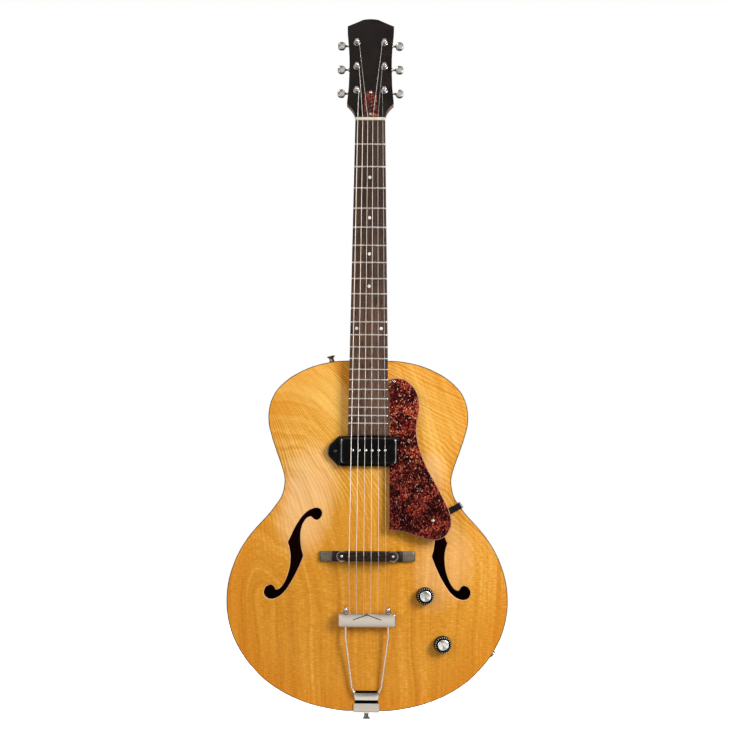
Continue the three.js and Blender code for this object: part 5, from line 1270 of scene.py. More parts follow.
    # housing behind the head: drawn can, lugs, screws, shaft sleeve
    sh = Shell()
    rect0 = lambda g: rounded([(-8.6 + g, -8.2 + g), (10 - g, -8.2 + g), (10 - g, 11.6 - g), (-8.6 + g, 11.6 - g)], max(2.6 - g * 0.4, 0.8), 0.6)
    flip = lambda lx, d, lv: put(lx, d, lv)
    v, f = slab([(rect0(0), 14.2), (rect0(0), 25.2), (rect0(0.18), 26.1), (rect0(0.6), 26.8), (rect0(1.2), 27.2), (rect0(2.0), 27.38)], flip)
    sh.add(v, f)
    lug = rounded([(-4, -12.5), (5, -12.5), (5, 15.9), (-4, 15.9)], 3.4, 0.6)
    lug_in = inset(lug, 0.25)
    v, f = slab([(lug, 14.2), (lug, 15.1), (lug_in, 15.4)], flip)
    sh.add(v, f)
    v, f = ringed([(1.85, 8.0), (3.2, 8.0), (3.2, 11.2), (2.9, 11.8), (2.3, 12.0), (1.85, 11.9)], 30, at, axis)
    sh.add(v, f, 1)
    screw(sh, put(0.5, 15.4, -10.4), HEAD_BACK, 1.75, 0.9)
    screw(sh, put(0.5, 15.4, 13.8), HEAD_BACK, 1.75, 0.9)
    screw(sh, put(0, 27.36, 0), HEAD_BACK, 2.3, 0.5, kind="slot")
    sh.make(f"tuner_housing_{i}_drawn", [M["nickel"], M["chrome_painted_dark"]], node=f"tuner_housing_{i}", slot="nickel", angle=40)

# -------------------------------------------------------------------- strings
def saddle_arc(x):
    u = min(1, abs(x) / 29.6)
    return STRING_Y_SADDLE + 0.6 * u


bar_slope = (BAR_Y - STRING_Y_SADDLE) / (BAR_Z - SADDLE_Z)
COMP = {1: 2.0, 2: 0.7, 3: -1.0, 4: 1.4, 5: 0.2, 6: -1.2}
for i, side, row in TUNERS:
    k, r = string_k(i), STRING_R[i - 1]
    xn, xs = nut_x(i), k * SPREAD_SADDLE / 2
    top = on_neck(xn, -1.5 - 0.35 - r + nut_edge(xn), -3.0)
    over = A(xs, saddle_arc(xs) - r + 0.12, SADDLE_Z + COMP[i])
    n = 60
    v, f = tube([top + (over - top) * j / n for j in range(n + 1)], r, 12)
    o = Shell().add(v, f).make(f"string_{i}_speaking", STRING_MAT(i), node=f"string_{i}", slot=STRING_SLOT(i), angle=60, ride=False)
    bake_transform(o)
    off = TAKE_OFF[i]
    n = 10
    v, f = tube([top + (off - top) * j / n for j in range(n + 1)], r, 10)
    Shell().add(v, f).make(f"string_{i}_head", STRING_MAT(i), slot=STRING_SLOT(i), angle=60)
    end = A(xs * 0.957, BAR_Y + bar_slope * 9.0, BAR_Z + 9.0)
    n = 12
    v, f = tube([over + (end - over) * j / n for j in range(n + 1)], r, 10)
    sh = Shell().add(v, f)
    sh.make(f"string_{i}_tail", STRING_MAT(i), body="tailpiece", slot=STRING_SLOT(i), angle=60)

# --------------------------------------------------------------------- pickup
EAR_Y = min(float(front_y(0, PICKUP_Z)), float(front_y(0, PICKUP_Z - PICKUP_H))) - 0.6
rr = lambda d, c: rounded([(-PICKUP_X + d, -PICKUP_H + d), (PICKUP_X - d, -PICKUP_H + d), (PICKUP_X - d, PICKUP_H - d), (-PICKUP_X + d, PICKUP_H - d)], c, 0.5) + A(PICKUP_AT_X, PICKUP_Z)
front_place = lambda x, y, z: A(x, y, z)
sh = Shell()
# insets left, right, at the neck side and at the bridge side, then the height
layers = [
    (0, 0, 0, 0, EAR_Y), (0.2, 0.2, 0.2, 0.2, PICKUP_TOP + 6.2), (0.45, 0.5, 0.45, 0.5, PICKUP_TOP + 4.6), (0.9, 1.0, 0.8, 1.0, PICKUP_TOP + 3.6),
    (1.5, 1.8, 1.3, 1.8, PICKUP_TOP + 2.8), (3.25, 4.5, 2.9, 4.5, PICKUP_TOP + 0.9), (3.4, 4.65, 3.05, 4.65, PICKUP_TOP + 0.78),
    (4.25, 5.5, 3.9, 5.5, PICKUP_TOP + 0.44), (4.4, 5.65, 4.05, 5.65, PICKUP_TOP + 0.36), (5.3, 6.5, 4.9, 6.5, PICKUP_TOP),
]
count = 120
base_loop = resample(rr(0, 4.2), count)
centre_p = A(PICKUP_AT_X, PICKUP_Z)


def shrunk(left, right, upper, lower):
    p = base_loop - centre_p
    kx = np.where(p[:, 0] < 0, 1 - left / PICKUP_X, 1 - right / PICKUP_X)
    kz = np.where(p[:, 1] > 0, 1 - upper / PICKUP_H, 1 - lower / PICKUP_H)
    return p * np.stack([kx, kz], 1) + centre_p


v, f = slab([(shrunk(*d), y) for *d, y in layers], front_place)
# painted highlight: the little facet at either end of the face gets a light grey plastic in place of the lamps'
# reflection
shine = []
for face in f:
    c_ = np.mean([v[k] for k in face], 0)
    edge_ = len(face) == 4 and PICKUP_TOP + 0.42 < c_[1] < PICKUP_TOP + 0.80 and abs(c_[2] - PICKUP_Z) < PICKUP_H - 5.5
    shine.append(1 if edge_ else 0)
sh.add(v, f, shine)
ear_half = [[EAR_X - 0.05, 0], [59.1, 3.4], [58.0, 6.6], [55.4, 10.0], [52.4, 12.9], [49.6, 15.7], [46.7, 18.6], [43.8, 21.3], [PICKUP_X - 2.2, PICKUP_H - 0.3]]
ear = smooth_path([[x, -z] for x, z in ear_half[:0:-1]] + ear_half, 0.8)
for s in (1, -1):
    loop = np.vstack([ear, [[PICKUP_X - 6, PICKUP_H - 0.5], [PICKUP_X - 6, -PICKUP_H + 0.5]]]) * A(s, 1) + A(PICKUP_AT_X, PICKUP_Z)
    v, f = slab([(loop, EAR_Y), (loop, EAR_Y - 3.6), (inset(loop, 0.3), EAR_Y - 4.5), (inset(loop, 0.85), EAR_Y - 5.0), (inset(loop, 1.5), EAR_Y - 5.2)], front_place)
    sh.add(v, f)
sh.make("pickup_cover_moulded", [M["black"], M["edge_shine"]], node="pickup_cover", slot="black_plastic", angle=13)
sh = Shell()
for s in (1, -1):
    screw(sh, A(PICKUP_AT_X + s * 48.4, EAR_Y - 5.15, PICKUP_Z), (0, -1, 0), 2.3, 0.9)
sh.make("pickup_ear_screws", M["dark_screw"], slot="black_plastic", angle=40)
sh = Shell()
for kk in (-2.5, -1.5, -0.5, 0.5, 1.5, 2.5):
    screw(sh, A(PICKUP_AT_X + kk * 9.3, PICKUP_TOP - 0.35, PICKUP_Z + POLE_Z), (0, -1, 0), 2.05, 0.95, kind="slot")
sh.make("pickup_pole_screws", M["pole"], slot="nickel", angle=40)

# ------------------------------------------------------------------ pickguard
run = smooth_path(GUARD_OUTLINE, 1.4)
guard = np.vstack([run[:-1], rounded([run[-1], (29.5, 506.2), (45.6, 506.2), (45.6, 459.8), (29.8, 459.8), run[0], (38, 470), (38, 560)], [0, 0.6, 1.6, 1.6, 0.6, 0, 0, 0])[:-2]])
keep = [guard[0]]
for p in guard[1:]:
    if np.linalg.norm(p - keep[-1]) > 0.05:
        keep.append(p)
if np.linalg.norm(keep[0] - keep[-1]) < 0.05:
    keep.pop()
guard = np.array(keep)
d0, d1 = 1.5, 3.9
banded(
    Shell(),
    [(inset(guard, 0.95), d0), (inset(guard, 0.5), d0 + 0.42), (inset(guard, 0.12), d0 + 0.9), (guard, d0 + 1.3), (guard, d1)],
    lambda x, d, s: on_neck(x, d, s),
    [0, 1, 1, 0, 0, 0],
).make("pickguard_sheet", [M["tortoise"], M["ply"]], node="pickguard", slot="tortoise_plastic", angle=22)
sh = Shell()
for x, s in ((37.3, 382.4), (93.2, 581.8)):
    screw(sh, on_neck(x, d0, s), NECK_OUT, 2.2, 0.85)
sh.make("pickguard_screws", M["nickel"], slot="nickel", angle=40)

# bracket: a flat strap from under the sheet, bent down the side of the body
j = int(np.argmin(np.hypot(OUTLINE[:, 0] - 131.5, OUTLINE[:, 1] + 558.3)))
foot2 = OUTLINE[j]
t2 = unit(OUTLINE[(j + 3) % len(OUTLINE)] - OUTLINE[j - 3])
o2 = A(-t2[1], t2[0])
if o2 @ (foot2 - A(0, CENTRE_Z)) < 0:
    o2 = -o2
OUTW = A(o2[0], 0, o2[1])
FOOT = A(foot2[0], 2, foot2[1]) + OUTW * 0.4
beside = lambda out, y: A(FOOT[0] + OUTW[0] * out, y, FOOT[2] + OUTW[2] * out)
STRAP = 0.9
arm_y = float(on_neck(131, d1 + 0.3 + STRAP, 559.4)[1])
path = bent([on_neck(94.4, d1 + 0.3 + STRAP, 579.6), beside(-0.2, arm_y), beside(1.3, arm_y + 1.6), beside(1.3, -28), beside(STRAP, -9), beside(STRAP, 14)], [0, 1.2, 1.6, 9, 9, 0], 0.35)
along_arm = np.gradient(path, axis=0)
along_arm /= np.linalg.norm(along_arm, axis=1)[:, None]
side_a, side_b = A(-math.sin(28.5 * D), 0, math.cos(28.5 * D)), A(-OUTW[2], 0, OUTW[0])
gone = np.concatenate([[0], np.cumsum(np.linalg.norm(np.diff(path, axis=0), axis=1))])
reach = float(np.linalg.norm(beside(-0.2, arm_y) - path[0]))
rings, band = [], []
for p, t, g in zip(path, along_arm, gone):
    u = min(1.0, max(0.0, (g - reach + 3) / 5))
    s_ = unit(side_a * (1 - u) + side_b * u)
    n_ = unit(np.cross(t, s_))
    half, left = 4.5, gone[-1] - g
    if left < 2.5:
        half = 2.0 + math.sqrt(max(0, 6.25 - (2.5 - left) ** 2))
    rings.append([p + s_ * a * half + n_ * b for a, b in ((-1, -0.55), (-0.92, -STRAP), (-0.5, -STRAP), (0.5, -STRAP), (0.92, -STRAP), (1, -0.55), (1, 0.55), (0.92, STRAP), (0.5, STRAP), (-0.5, STRAP), (-0.92, STRAP), (-1, 0.55))])
    # the faces round the bend where the strap turns down the side are drawn in a paler grey
    band.append(1 if abs(g - reach - 1.3) < 1.3 else 0)
v, f = loft(rings)
sh = Shell().add(v, f, [k for k in band[:-1] for _ in range(12)] + [0, 0])
sh.make("pickguard_bracket_bent", [M["bracket"], M["worn"]], node="pickguard_bracket", slot="bracket_black", angle=40)
sh = Shell()
screw(sh, beside(1.8, 10.2), OUTW, 2.1, 0.8)
sh.make("bracket_screw", M["nickel"], slot="nickel", angle=40)

# --------------------------------------------------------------------- bridge
def bridge_ring(x, half, low, top, ease=1.0):
    e = min(ease, (low - top) * 0.45)
    return [A(x, low, -half + SADDLE_Z), A(x, top + e, -half + SADDLE_Z), A(x, top + 0.3 * e, -half + 0.35 * e + SADDLE_Z), A(x, top, -half + e + SADDLE_Z), A(x, top, SADDLE_Z),
            A(x, top, half - e + SADDLE_Z), A(x, top + 0.3 * e, half - 0.35 * e + SADDLE_Z), A(x, top + e, half + SADDLE_Z), A(x, low, half + SADDLE_Z), A(x, low, SADDLE_Z)]


half_of = lambda x: float(np.interp(abs(x), [0, 50, 64.8, 67.4, 68.45], [7.4, 7.45, 7.4, 7.1, 6.4]))
rings = []
xs = [68.45, 68.3, 67.85, 67.05, 64.8, 61, 58, 55, 52, 50.6, 50.0, 49.2, 48.4, 47.6, 46.9, 46.2, 45, 40, 34, 28, 24, 22.5, 21.2, 20, 16, 10, 4]
for x in [-q for q in xs] + xs[::-1]:
    q = abs(x)
    half = half_of(q)
    low = min(float(front_y(x, SADDLE_Z - half)), float(front_y(x, SADDLE_Z)), float(front_y(x, SADDLE_Z + half))) - 0.3
    if q < 22:
        low -= 2.2 * min(1, (22 - q) / 4) ** 0.6
    h = float(np.interp(q, [50, 58, 64.8, 67.05, 67.85, 68.3, 68.45], [5.6, 5.4, 5.2, 4.7, 4.1, 3.2, 2.4]))
    pad = low - h if q >= 50 else None
    if q >= 50:
        top = pad
    elif q <= 46.2:
        top = -36.6
    else:
        edge_low = float(front_y(50, SADDLE_Z)) - 0.3 - 5.6
        u = (50 - q) / 3.8
        top = edge_low + (-36.6 - edge_low) * (3 * u * u - 2 * u**3)
    rings.append(bridge_ring(x, half, low, top, 1.1 if q > 47 else 0.8))
v, f = loft(rings)
# the upper faces of the pad ends get the pale grey painted sheen
kinds = []
for face in f:
    mid = np.mean([v[k] for k in face], 0)
    up = len(face) == 4 and abs(mid[0]) > 50.3 and abs(mid[0]) < 68.2 and mid[1] < float(front_y(mid[0], SADDLE_Z)) - 3.2
    kinds.append(1 if up else 0)
Shell().add(v, f, kinds).make("bridge_base_carved", [M["bridge"], M["pad"]], node="bridge_base", slot="rosewood", angle=35)

ends_ = [42.25, 42.15, 41.9, 41.5, 41, 40.3, 39.4, 38.4, 37, 35, 33, 31.6, 31.2, 30.6, 30, 29.8]
marks = sorted(set([-e for e in ends_] + ends_
                   + [round(v_, 3) for v_ in np.linspace(-29.6, 29.6, 75)]
                   + [round(string_k(i) * SPREAD_SADDLE / 2 + e, 3) for i in range(1, 7) for e in (-0.9, -0.55, -0.2, 0.2, 0.55, 0.9)]
                   + [round((string_k(i) + string_k(i + 1)) * SPREAD_SADDLE / 4 + e, 3) for i in range(1, 6) for e in (-0.12, 0.12)]))
rings = []
for x in marks:
    q = abs(x)
    half = 5.7 if q < 36.6 else 5.7 * math.sqrt(max(0.04, 1 - ((q - 36.6) / 5.75) ** 2.4))
    wing = float(np.interp(q, [30, 38, 40.3, 41.5, 42.15, 42.25], [-47.8, -47.7, -47.4, -46.9, -46.1, -45.5]))
    if q < 29.9:
        crown = SADDLE_TOP + 0.6 * min(1, q / 29.6)
        near = min(range(1, 7), key=lambda i: abs(x - string_k(i) * SPREAD_SADDLE / 2))
        shift = COMP[near]
        d = abs(x - string_k(near) * SPREAD_SADDLE / 2)
        notch = 0.42 if d < STRING_R[near - 1] + 0.15 else 0.0
        crown += notch
        shoulder = -51.3
        zs = [(-half, -50.4), (-half + 0.5, -50.9), (shift - 2.1, shoulder - 0.2), (shift - 0.7, crown + 0.2), (shift, crown), (shift + 0.7, crown + 0.2), (shift + 2.1, shoulder - 0.2), (half - 0.5, -50.9), (half, -50.4)]
    elif q < 31.4:
        u = (31.4 - q) / 1.5
        shift = 0
        ht = wing + (-50.9 - wing) * u
        zs = [(-half, wing + 0.9 + (-50.4 - wing - 0.9) * u), (-half + 0.7, wing + 0.2 + (-50.9 - wing - 0.2) * u), (-2.1, ht - 0.1), (-0.7, ht - 0.2), (0, ht - 0.22), (0.7, ht - 0.2), (2.1, ht - 0.1), (half - 0.7, wing + 0.2 + (-50.9 - wing - 0.2) * u), (half, wing + 0.9 + (-50.4 - wing - 0.9) * u)]
    else:
        zs = [(-half, wing + 0.9), (-half + 0.4, wing + 0.25), (-half + 1.1, wing), (-0.7, wing - 0.05), (0, wing - 0.05), (0.7, wing - 0.05), (half - 1.1, wing), (half - 0.4, wing + 0.25), (half, wing + 0.9)]
    rings.append([A(x, -43.2, -half + SADDLE_Z)] + [A(x, y, z + SADDLE_Z) for z, y in zs] + [A(x, -43.2, half + SADDLE_Z)])
v, f = loft(rings)
Shell().add(v, f).make("bridge_saddle_carved", M["bridge"], body="saddle", node="bridge_saddle", slot="rosewood", angle=28)

for name, x in (("bass", -STUD_X), ("treble", STUD_X)):
    at = A(x, 0, SADDLE_Z)
    prof = [(0, 48.2), (1.2, 48.2), (1.75, 47.9)]
    h = 47.6
    while h > 32:
        prof += [(2.0, h), (1.72, h - 0.3)]
        h -= 0.6
    prof += [(1.8, 31.4), (0, 31.4)]
    v, f = turned(prof, 24, at, (0, -1, 0))
    sh = Shell().add(v, f)
    sh.make(f"bridge_stud_{name}_threaded", M["steel_bright"], node=f"bridge_stud_{name}", slot="nickel", angle=50)
    prof = [(2.3, 39.95), (7.3, 39.95), (7.85, 40.3), (8.0, 40.55), (8.0, 42.25), (7.85, 42.5), (7.3, 42.85), (3.4, 42.85), (3.1, 42.6), (2.3, 42.6)]
    v, f = ringed(prof, 144, at, (0, -1, 0), wobble=lambda r_, h_, a: r_ - (0.0 if r_ < 7.7 else 0.26 * (0.5 - 0.5 * math.cos(48 * a))))
    Shell().add(v, f).make(f"thumbwheel_{name}_knurled", M["nickel"], body=f"wheel_{name}", node=f"thumbwheel_{name}", slot="nickel", angle=30)

# ------------------------------------------------------------------ tailpiece
HINGE = A(0, HINGE_Y, HINGE_Z)
bar_local = A(0, BAR_Y - HINGE_Y, BAR_Z - HINGE_Z)
BAR_UP = unit(bar_local)
BAR_OUT = A(0, -BAR_UP[2], BAR_UP[1])
BAR_LEN = float(np.linalg.norm(bar_local))
along_bar = lambda x, a, d: HINGE + A(x, 0, 0) + BAR_UP * a + BAR_OUT * d
frame_path = bent(
    [along_bar(-ROD_X, BAR_LEN + 16.5, 0), along_bar(-ROD_X, BAR_LEN - 25.5, 0), along_bar(-20.9, 6, 0), along_bar(-18.4, 0, 0), along_bar(18.4, 0, 0), along_bar(20.9, 6, 0), along_bar(ROD_X, BAR_LEN - 25.5, 0), along_bar(ROD_X, BAR_LEN + 16.5, 0)],
    [0, 26, 3.2, 3.2, 3.2, 3.2, 26, 0], 0.8)
v, f = tube(frame_path, 1.68, 20)
Shell().add(v, f).make("tailpiece_frame_bent", M["rod"], body="tailpiece", node="tailpiece_frame", slot="nickel", angle=50)
sh = Shell()
bar_loop = lambda g: rounded([(-41.4 + g, -9.6 + g), (41.4 - g, -9.6 + g), (41.4 - g, 10.9 - g), (-41.4 + g, 10.9 - g)], max(0.9, 1.2 - g * 0.2), 0.4)
n_bar = 120
lay = [(0.9, -3.35), (0.25, -3.0), (0.0, -2.4), (0.0, -0.2), (0.16, 0.5), (1.5, 2.75), (1.7, 2.95), (2.0, 3.06)]
v, f = slab([(resample(bar_loop(g), n_bar), d) for g, d in lay], lambda x, d, a: along_bar(x, BAR_LEN + a, d))
sh.add(v, f)
sh.make("tailpiece_crossbar_milled", M["satin"], body="tailpiece", node="tailpiece_crossbar", slot="nickel", angle=24)
sh = Shell()
for s in (-1, 1):
    at = along_bar(s * ROD_X, BAR_LEN, 0)
    hexagon(7.2, 10.3, 12.7, at, BAR_UP, 0.35, 0, sh, spin=0.5)
    v, f = turned([(0, 12.5), (2.5, 12.5), (2.6, 12.9), (3.3, 13.3), (3.65, 14.4), (3.4, 16.1), (2.8, 17.8), (2.0, 19.2), (1.1, 20.3), (0.6, 20.65), (0, 20.75)], 32, at, BAR_UP)
    sh.add(v, f)
    v, f = turned([(0, 10.5), (3.9, 10.5), (4.1, 10.7), (4.1, 11.0), (3.9, 11.2), (0, 11.2)], 32, at, BAR_UP)
    sh.add(v, f)
sh.make("tailpiece_cap_nuts", M["bushing"], body="tailpiece", slot="nickel", angle=35)
sh = Shell()
for i in range(1, 7):
    x = string_k(i) * SPREAD_SADDLE / 2 * 0.957
    v, f = turned([(0, -8.4), (1.5, -8.4), (1.9, -8.0), (1.9, -5.4), (1.5, -4.9), (0, -4.9)], 20, along_bar(x, BAR_LEN, -5.0), BAR_UP)
    sh.add(v, f)
sh.make("string_ball_ends", M["brass"], body="tailpiece", slot="string_steel", angle=35)
# chevron on the bar: thin black strips laid on its face, painted shade for the shadow in its grooves
sh = Shell()
for s in (-1, 1):
    a, b = A(-s * 0.5, 9.5), A(s * 20.3, 1.7)
    d = unit(b - a)
    nrm = A(-d[1], d[0])
    loop = np.array([a - nrm * 0.7 * s, b - nrm * 0.55 * s, b + nrm * 0.55 * s, a + nrm * 0.7 * s])
    v, f = slab([(loop, 2.8), (loop, 3.1)], lambda x, dd, al: along_bar(x, BAR_LEN + al, dd))
    sh.add(v, f)
sh.make("crossbar_groove_painted_shade", M["engraved"], body="tailpiece", slot="nickel", angle=30)

# bracket: hinge plate, gap and lower plate that turns down over the tail
sh = Shell()
bracket_y = lambda z: float(front_y(0, z)) - 0.4
# knuckle round the frame's pin, open towards the bridge, drawn flat black as painted shade for its shadowed barrel
ang = np.linspace(-20, 250, 28) * D
outer_k, inner_k = 2.4, 2.0
prof = []
for a in ang:
    prof.append((math.cos(a), math.sin(a)))
loop = [A(c * outer_k, s * outer_k) for c, s in prof] + [A(c * inner_k, s * inner_k) for c, s in prof[::-1]]
ends = [-16, -15.7, 15.7, 16]
rings = []
for x in ends:
    k = 0.985 if abs(x) > 15.9 else 1.0
    rings.append([HINGE + A(x, -p[0] * k, p[1] * k) for p in [(q[0], q[1]) for q in loop]])
v, f = loft(rings)
Shell().add(v, f).make("tailpiece_bracket_knuckle", M["engraved"], slot="nickel", angle=32)
# upper plate: bowed, wider towards the bridge
upper_z = np.linspace(-827.2, -837.9, 9)
rings = []
for z in upper_z:
    u = (-827.2 - z) / 10.7
    half = 18.1 - 1.8 * u
    y0 = -25.6 - 0.6 * math.sin(math.pi * u)
    y0 = y0 + (bracket_y(-838.6) - 2.0 + 25.6) * u
    row = []
    for x in np.linspace(-half, half, 15):
        e = (abs(x) / half)
        row.append(A(x, y0 + 0.9 * max(0, e - 0.86) / 0.14 * 0.8, z))
    low = [p + A(0, 1.7, 0) for p in row[::-1]]
    rings.append(row + low)
v, f = loft(rings)
sh.add(v, f)
# lower plate and the leg down the tail edge
path = bent([A(0, bracket_y(-842.5) - 1.2, -842.6), A(0, bracket_y(-848) - 1.3, -848.0), A(0, RIM_FRONT - 1.6, -855.4), A(0, 33, -855.4)], [0, 6, 3.2, 0], 0.5)
T = np.gradient(path, axis=0)
T /= np.linalg.norm(T, axis=1)[:, None]
rings = []
run_len = np.concatenate([[0], np.cumsum(np.linalg.norm(np.diff(path, axis=0), axis=1))])
for p, t, l in zip(path, T, run_len):
    nrm = unit(np.cross(A(1, 0, 0), t))
    if nrm[1] > 0 and abs(nrm[1]) > 0.5:
        nrm = -nrm
    if abs(nrm[1]) <= 0.5 and nrm[2] > 0:
        nrm = -nrm
    half = 18.3 + min(0.5, l * 0.03)
    left = run_len[-1] - l
    if left < 5:
        half = half - 5 + math.sqrt(max(0, 25 - (5 - left) ** 2))
    th = 0.95
    rings.append([p + A(-half, 0, 0) + nrm * (th - 0.4), p + A(-half + 0.4, 0, 0) + nrm * th, p + A(-half / 2, 0, 0) + nrm * th, p + nrm * th, p + A(half / 2, 0, 0) + nrm * th, p + A(half - 0.4, 0, 0) + nrm * th, p + A(half, 0, 0) + nrm * (th - 0.4), p + A(half, 0, 0) - nrm * th, p + A(-half, 0, 0) - nrm * th])
v, f = loft(rings)
sh.add(v, f)
# the web under the gap, joining both plates, drawn flat black as painted shade for the shadow in the gap
v, f = loft([[A(-16.4, y0, z), A(16.4, y0, z), A(16.4, y0 + 1.2, z), A(-16.4, y0 + 1.2, z)] for y0, z in ((bracket_y(-837.4) - 1.3, -837.2), (bracket_y(-844) - 1.3, -844.0))])
web = Shell().add(v, f)
web.make("tailpiece_bracket_web", M["engraved"], slot="nickel", angle=30)
sh.make("tailpiece_bracket_pressed", M["satin"], node="tailpiece_bracket", slot="nickel", angle=32)
sh = Shell()
for x in (-12.5, 12.5):
    for y in (-6, 27):
        screw(sh, A(x, y, -856.3), (0, 0, -1), 2.2, 0.9)
sh.make("tail_bracket_screws", M["nickel"], slot="nickel", angle=40)

# ----------------------------------------------------- buttons, jack and knobs
for name, at, out, stand in (
    ("upper", A(-52.840519, 23, -353.724914), A(-0.214862, 0, 0.976644), 0.4),
    ("tail", A(0, 23, -854), A(0, 0, -1), 2.8),
):
    s0 = stand
    prof = [(0, s0), (5.2, s0), (5.75, s0 + 0.3), (5.95, s0 + 0.8), (5.6, s0 + 1.5), (4.5, s0 + 2.4), (3.7, s0 + 3.6), (3.3, s0 + 5.2), (3.3, s0 + 6.6), (3.7, s0 + 8.2), (4.7, s0 + 9.2), (5.7, s0 + 9.8), (5.98, s0 + 10.3), (5.85, s0 + 10.9), (5.3, s0 + 11.25), (4.3, s0 + 11.38), (2.9, s0 + 11.38), (2.6, s0 + 10.9), (0, s0 + 10.9)]
    v, f = turned(prof, 40, at, out)
    sh = Shell().add(v, f)
    v, f = turned([(0, -9), (0.5, -9), (1.6, -6), (1.9, -4), (1.9, s0 + 1), (0, s0 + 1)], 16, at, out)
    sh.add(v, f)
    sh.make(f"strap_button_{name}_turned", M["chrome_painted_dark"], node=f"strap_button_{name}", slot="nickel", angle=45)
    sh = Shell()
    screw(sh, at + unit(out) * (s0 + 10.6), out, 2.45, 0.75)
    sh.make(f"strap_button_{name}_screw", M["nickel"], slot="nickel", angle=40)

JACK, JOUT = A(178.812563, 23, -771.797155), A(0.845798, 0, -0.533503)
sh = Shell()
v, f = ringed([(3.2, -5.9), (5, -5.9), (5, 0.5), (9.5, 0.5), (9.95, 0.75), (9.95, 1.35), (9.6, 1.65), (5.1, 1.7), (4.8, 1.9), (4.8, 5.6), (4.5, 5.95), (3.6, 5.95), (3.25, 5.6)], 48, JACK, JOUT)
sh.add(v, f)
hexagon(12.6, 1.7, 4.0, JACK, JOUT, 0.3, 0, sh)
v, f = ringed([(3.2, -24), (5, -24), (5, -5.8), (3.2, -5.8)], 32, JACK, JOUT)
sh.add(v, f)
sh.make("output_jack_turned", M["nickel"], node="output_jack", slot="nickel", angle=40)
# painted shade: a flat black sleeve lining the socket, in place of the shadow inside it
v, f = ringed([(2.9, -20), (3.25, -20), (3.25, 3.5), (2.9, 3.5)], 24, JACK, JOUT)
Shell().add(v, f).make("output_jack_sleeve", M["engraved"], slot="nickel", angle=40)

for name, (x, z) in (("volume", VOLUME), ("tone", TONE)):
    at = A(x, float(front_y(x, z)), z)
    out = front_normal(x, z)
    flutes = 22
    sh = Shell()
    v, f = turned([(0, 3.0), (12.3, 3.0), (12.55, 3.2), (12.5, 5.6), (12.1, 8.6), (0, 9.0)], 96, at, out)
    sh.add(v, f)
    flute = lambda r_, h, a: r_ - (1.35 * (0.5 - 0.5 * math.cos(flutes * a)) ** 1.3 if r_ > 9.3 else 0.0)
    v, f = turned([(0, 3.2), (12.5, 3.2), (12.75, 3.5), (12.7, 5.0), (12.35, 9), (11.8, 12.2), (11.5, 12.9), (11.0, 13.5), (10.3, 13.85), (9.2, 13.98), (8.6, 14.0), (0, 14.0)], 240, at, out, wobble=flute)
    sh.add(v, f)
    sh.make(f"{name}_knob_moulded", M["knob"], body=name, node=f"{name}_knob", slot="black_plastic", angle=40)
    sh = Shell()
    v, f = turned([(0, 13.7), (7.7, 13.7), (7.8, 14.0), (7.8, 15.0), (7.6, 15.35), (7.2, 15.55), (6.7, 15.62), (3, 15.75), (0, 15.78)], 64, at, out)
    sh.add(v, f)
    sh.make(f"{name}_knob_cap", spun_cap(f"{name}_cap_metal", x, z), body=name, slot="nickel", angle=30)
    sh = Shell()
    bx, by, bz = basis(out)
    for t in range(flutes):
        a = t * 2 * math.pi / flutes
        u = bx * math.cos(a) + bz * math.sin(a)
        w_ = np.cross(by, u)
        pts = []
        for r0, h0 in ((10.3, 13.85), (10.95, 13.55), (11.5, 12.95), (11.85, 11.6), (12.25, 8.6)):
            pts.append((r0, h0))
        top_ = [[at + u * r0 + by * (h0 + 0.05) + w_ * s_ * 0.34 for s_ in (-1, 1)] + [at + u * r0 + by * (h0 - 0.5) + w_ * s_ * 0.34 for s_ in (1, -1)] for r0, h0 in pts]
        v, f = loft(top_)
        sh.add(v, f)
    sh.make(f"{name}_knob_ticks", M["white"], body=name, slot="nut_bone", angle=30)

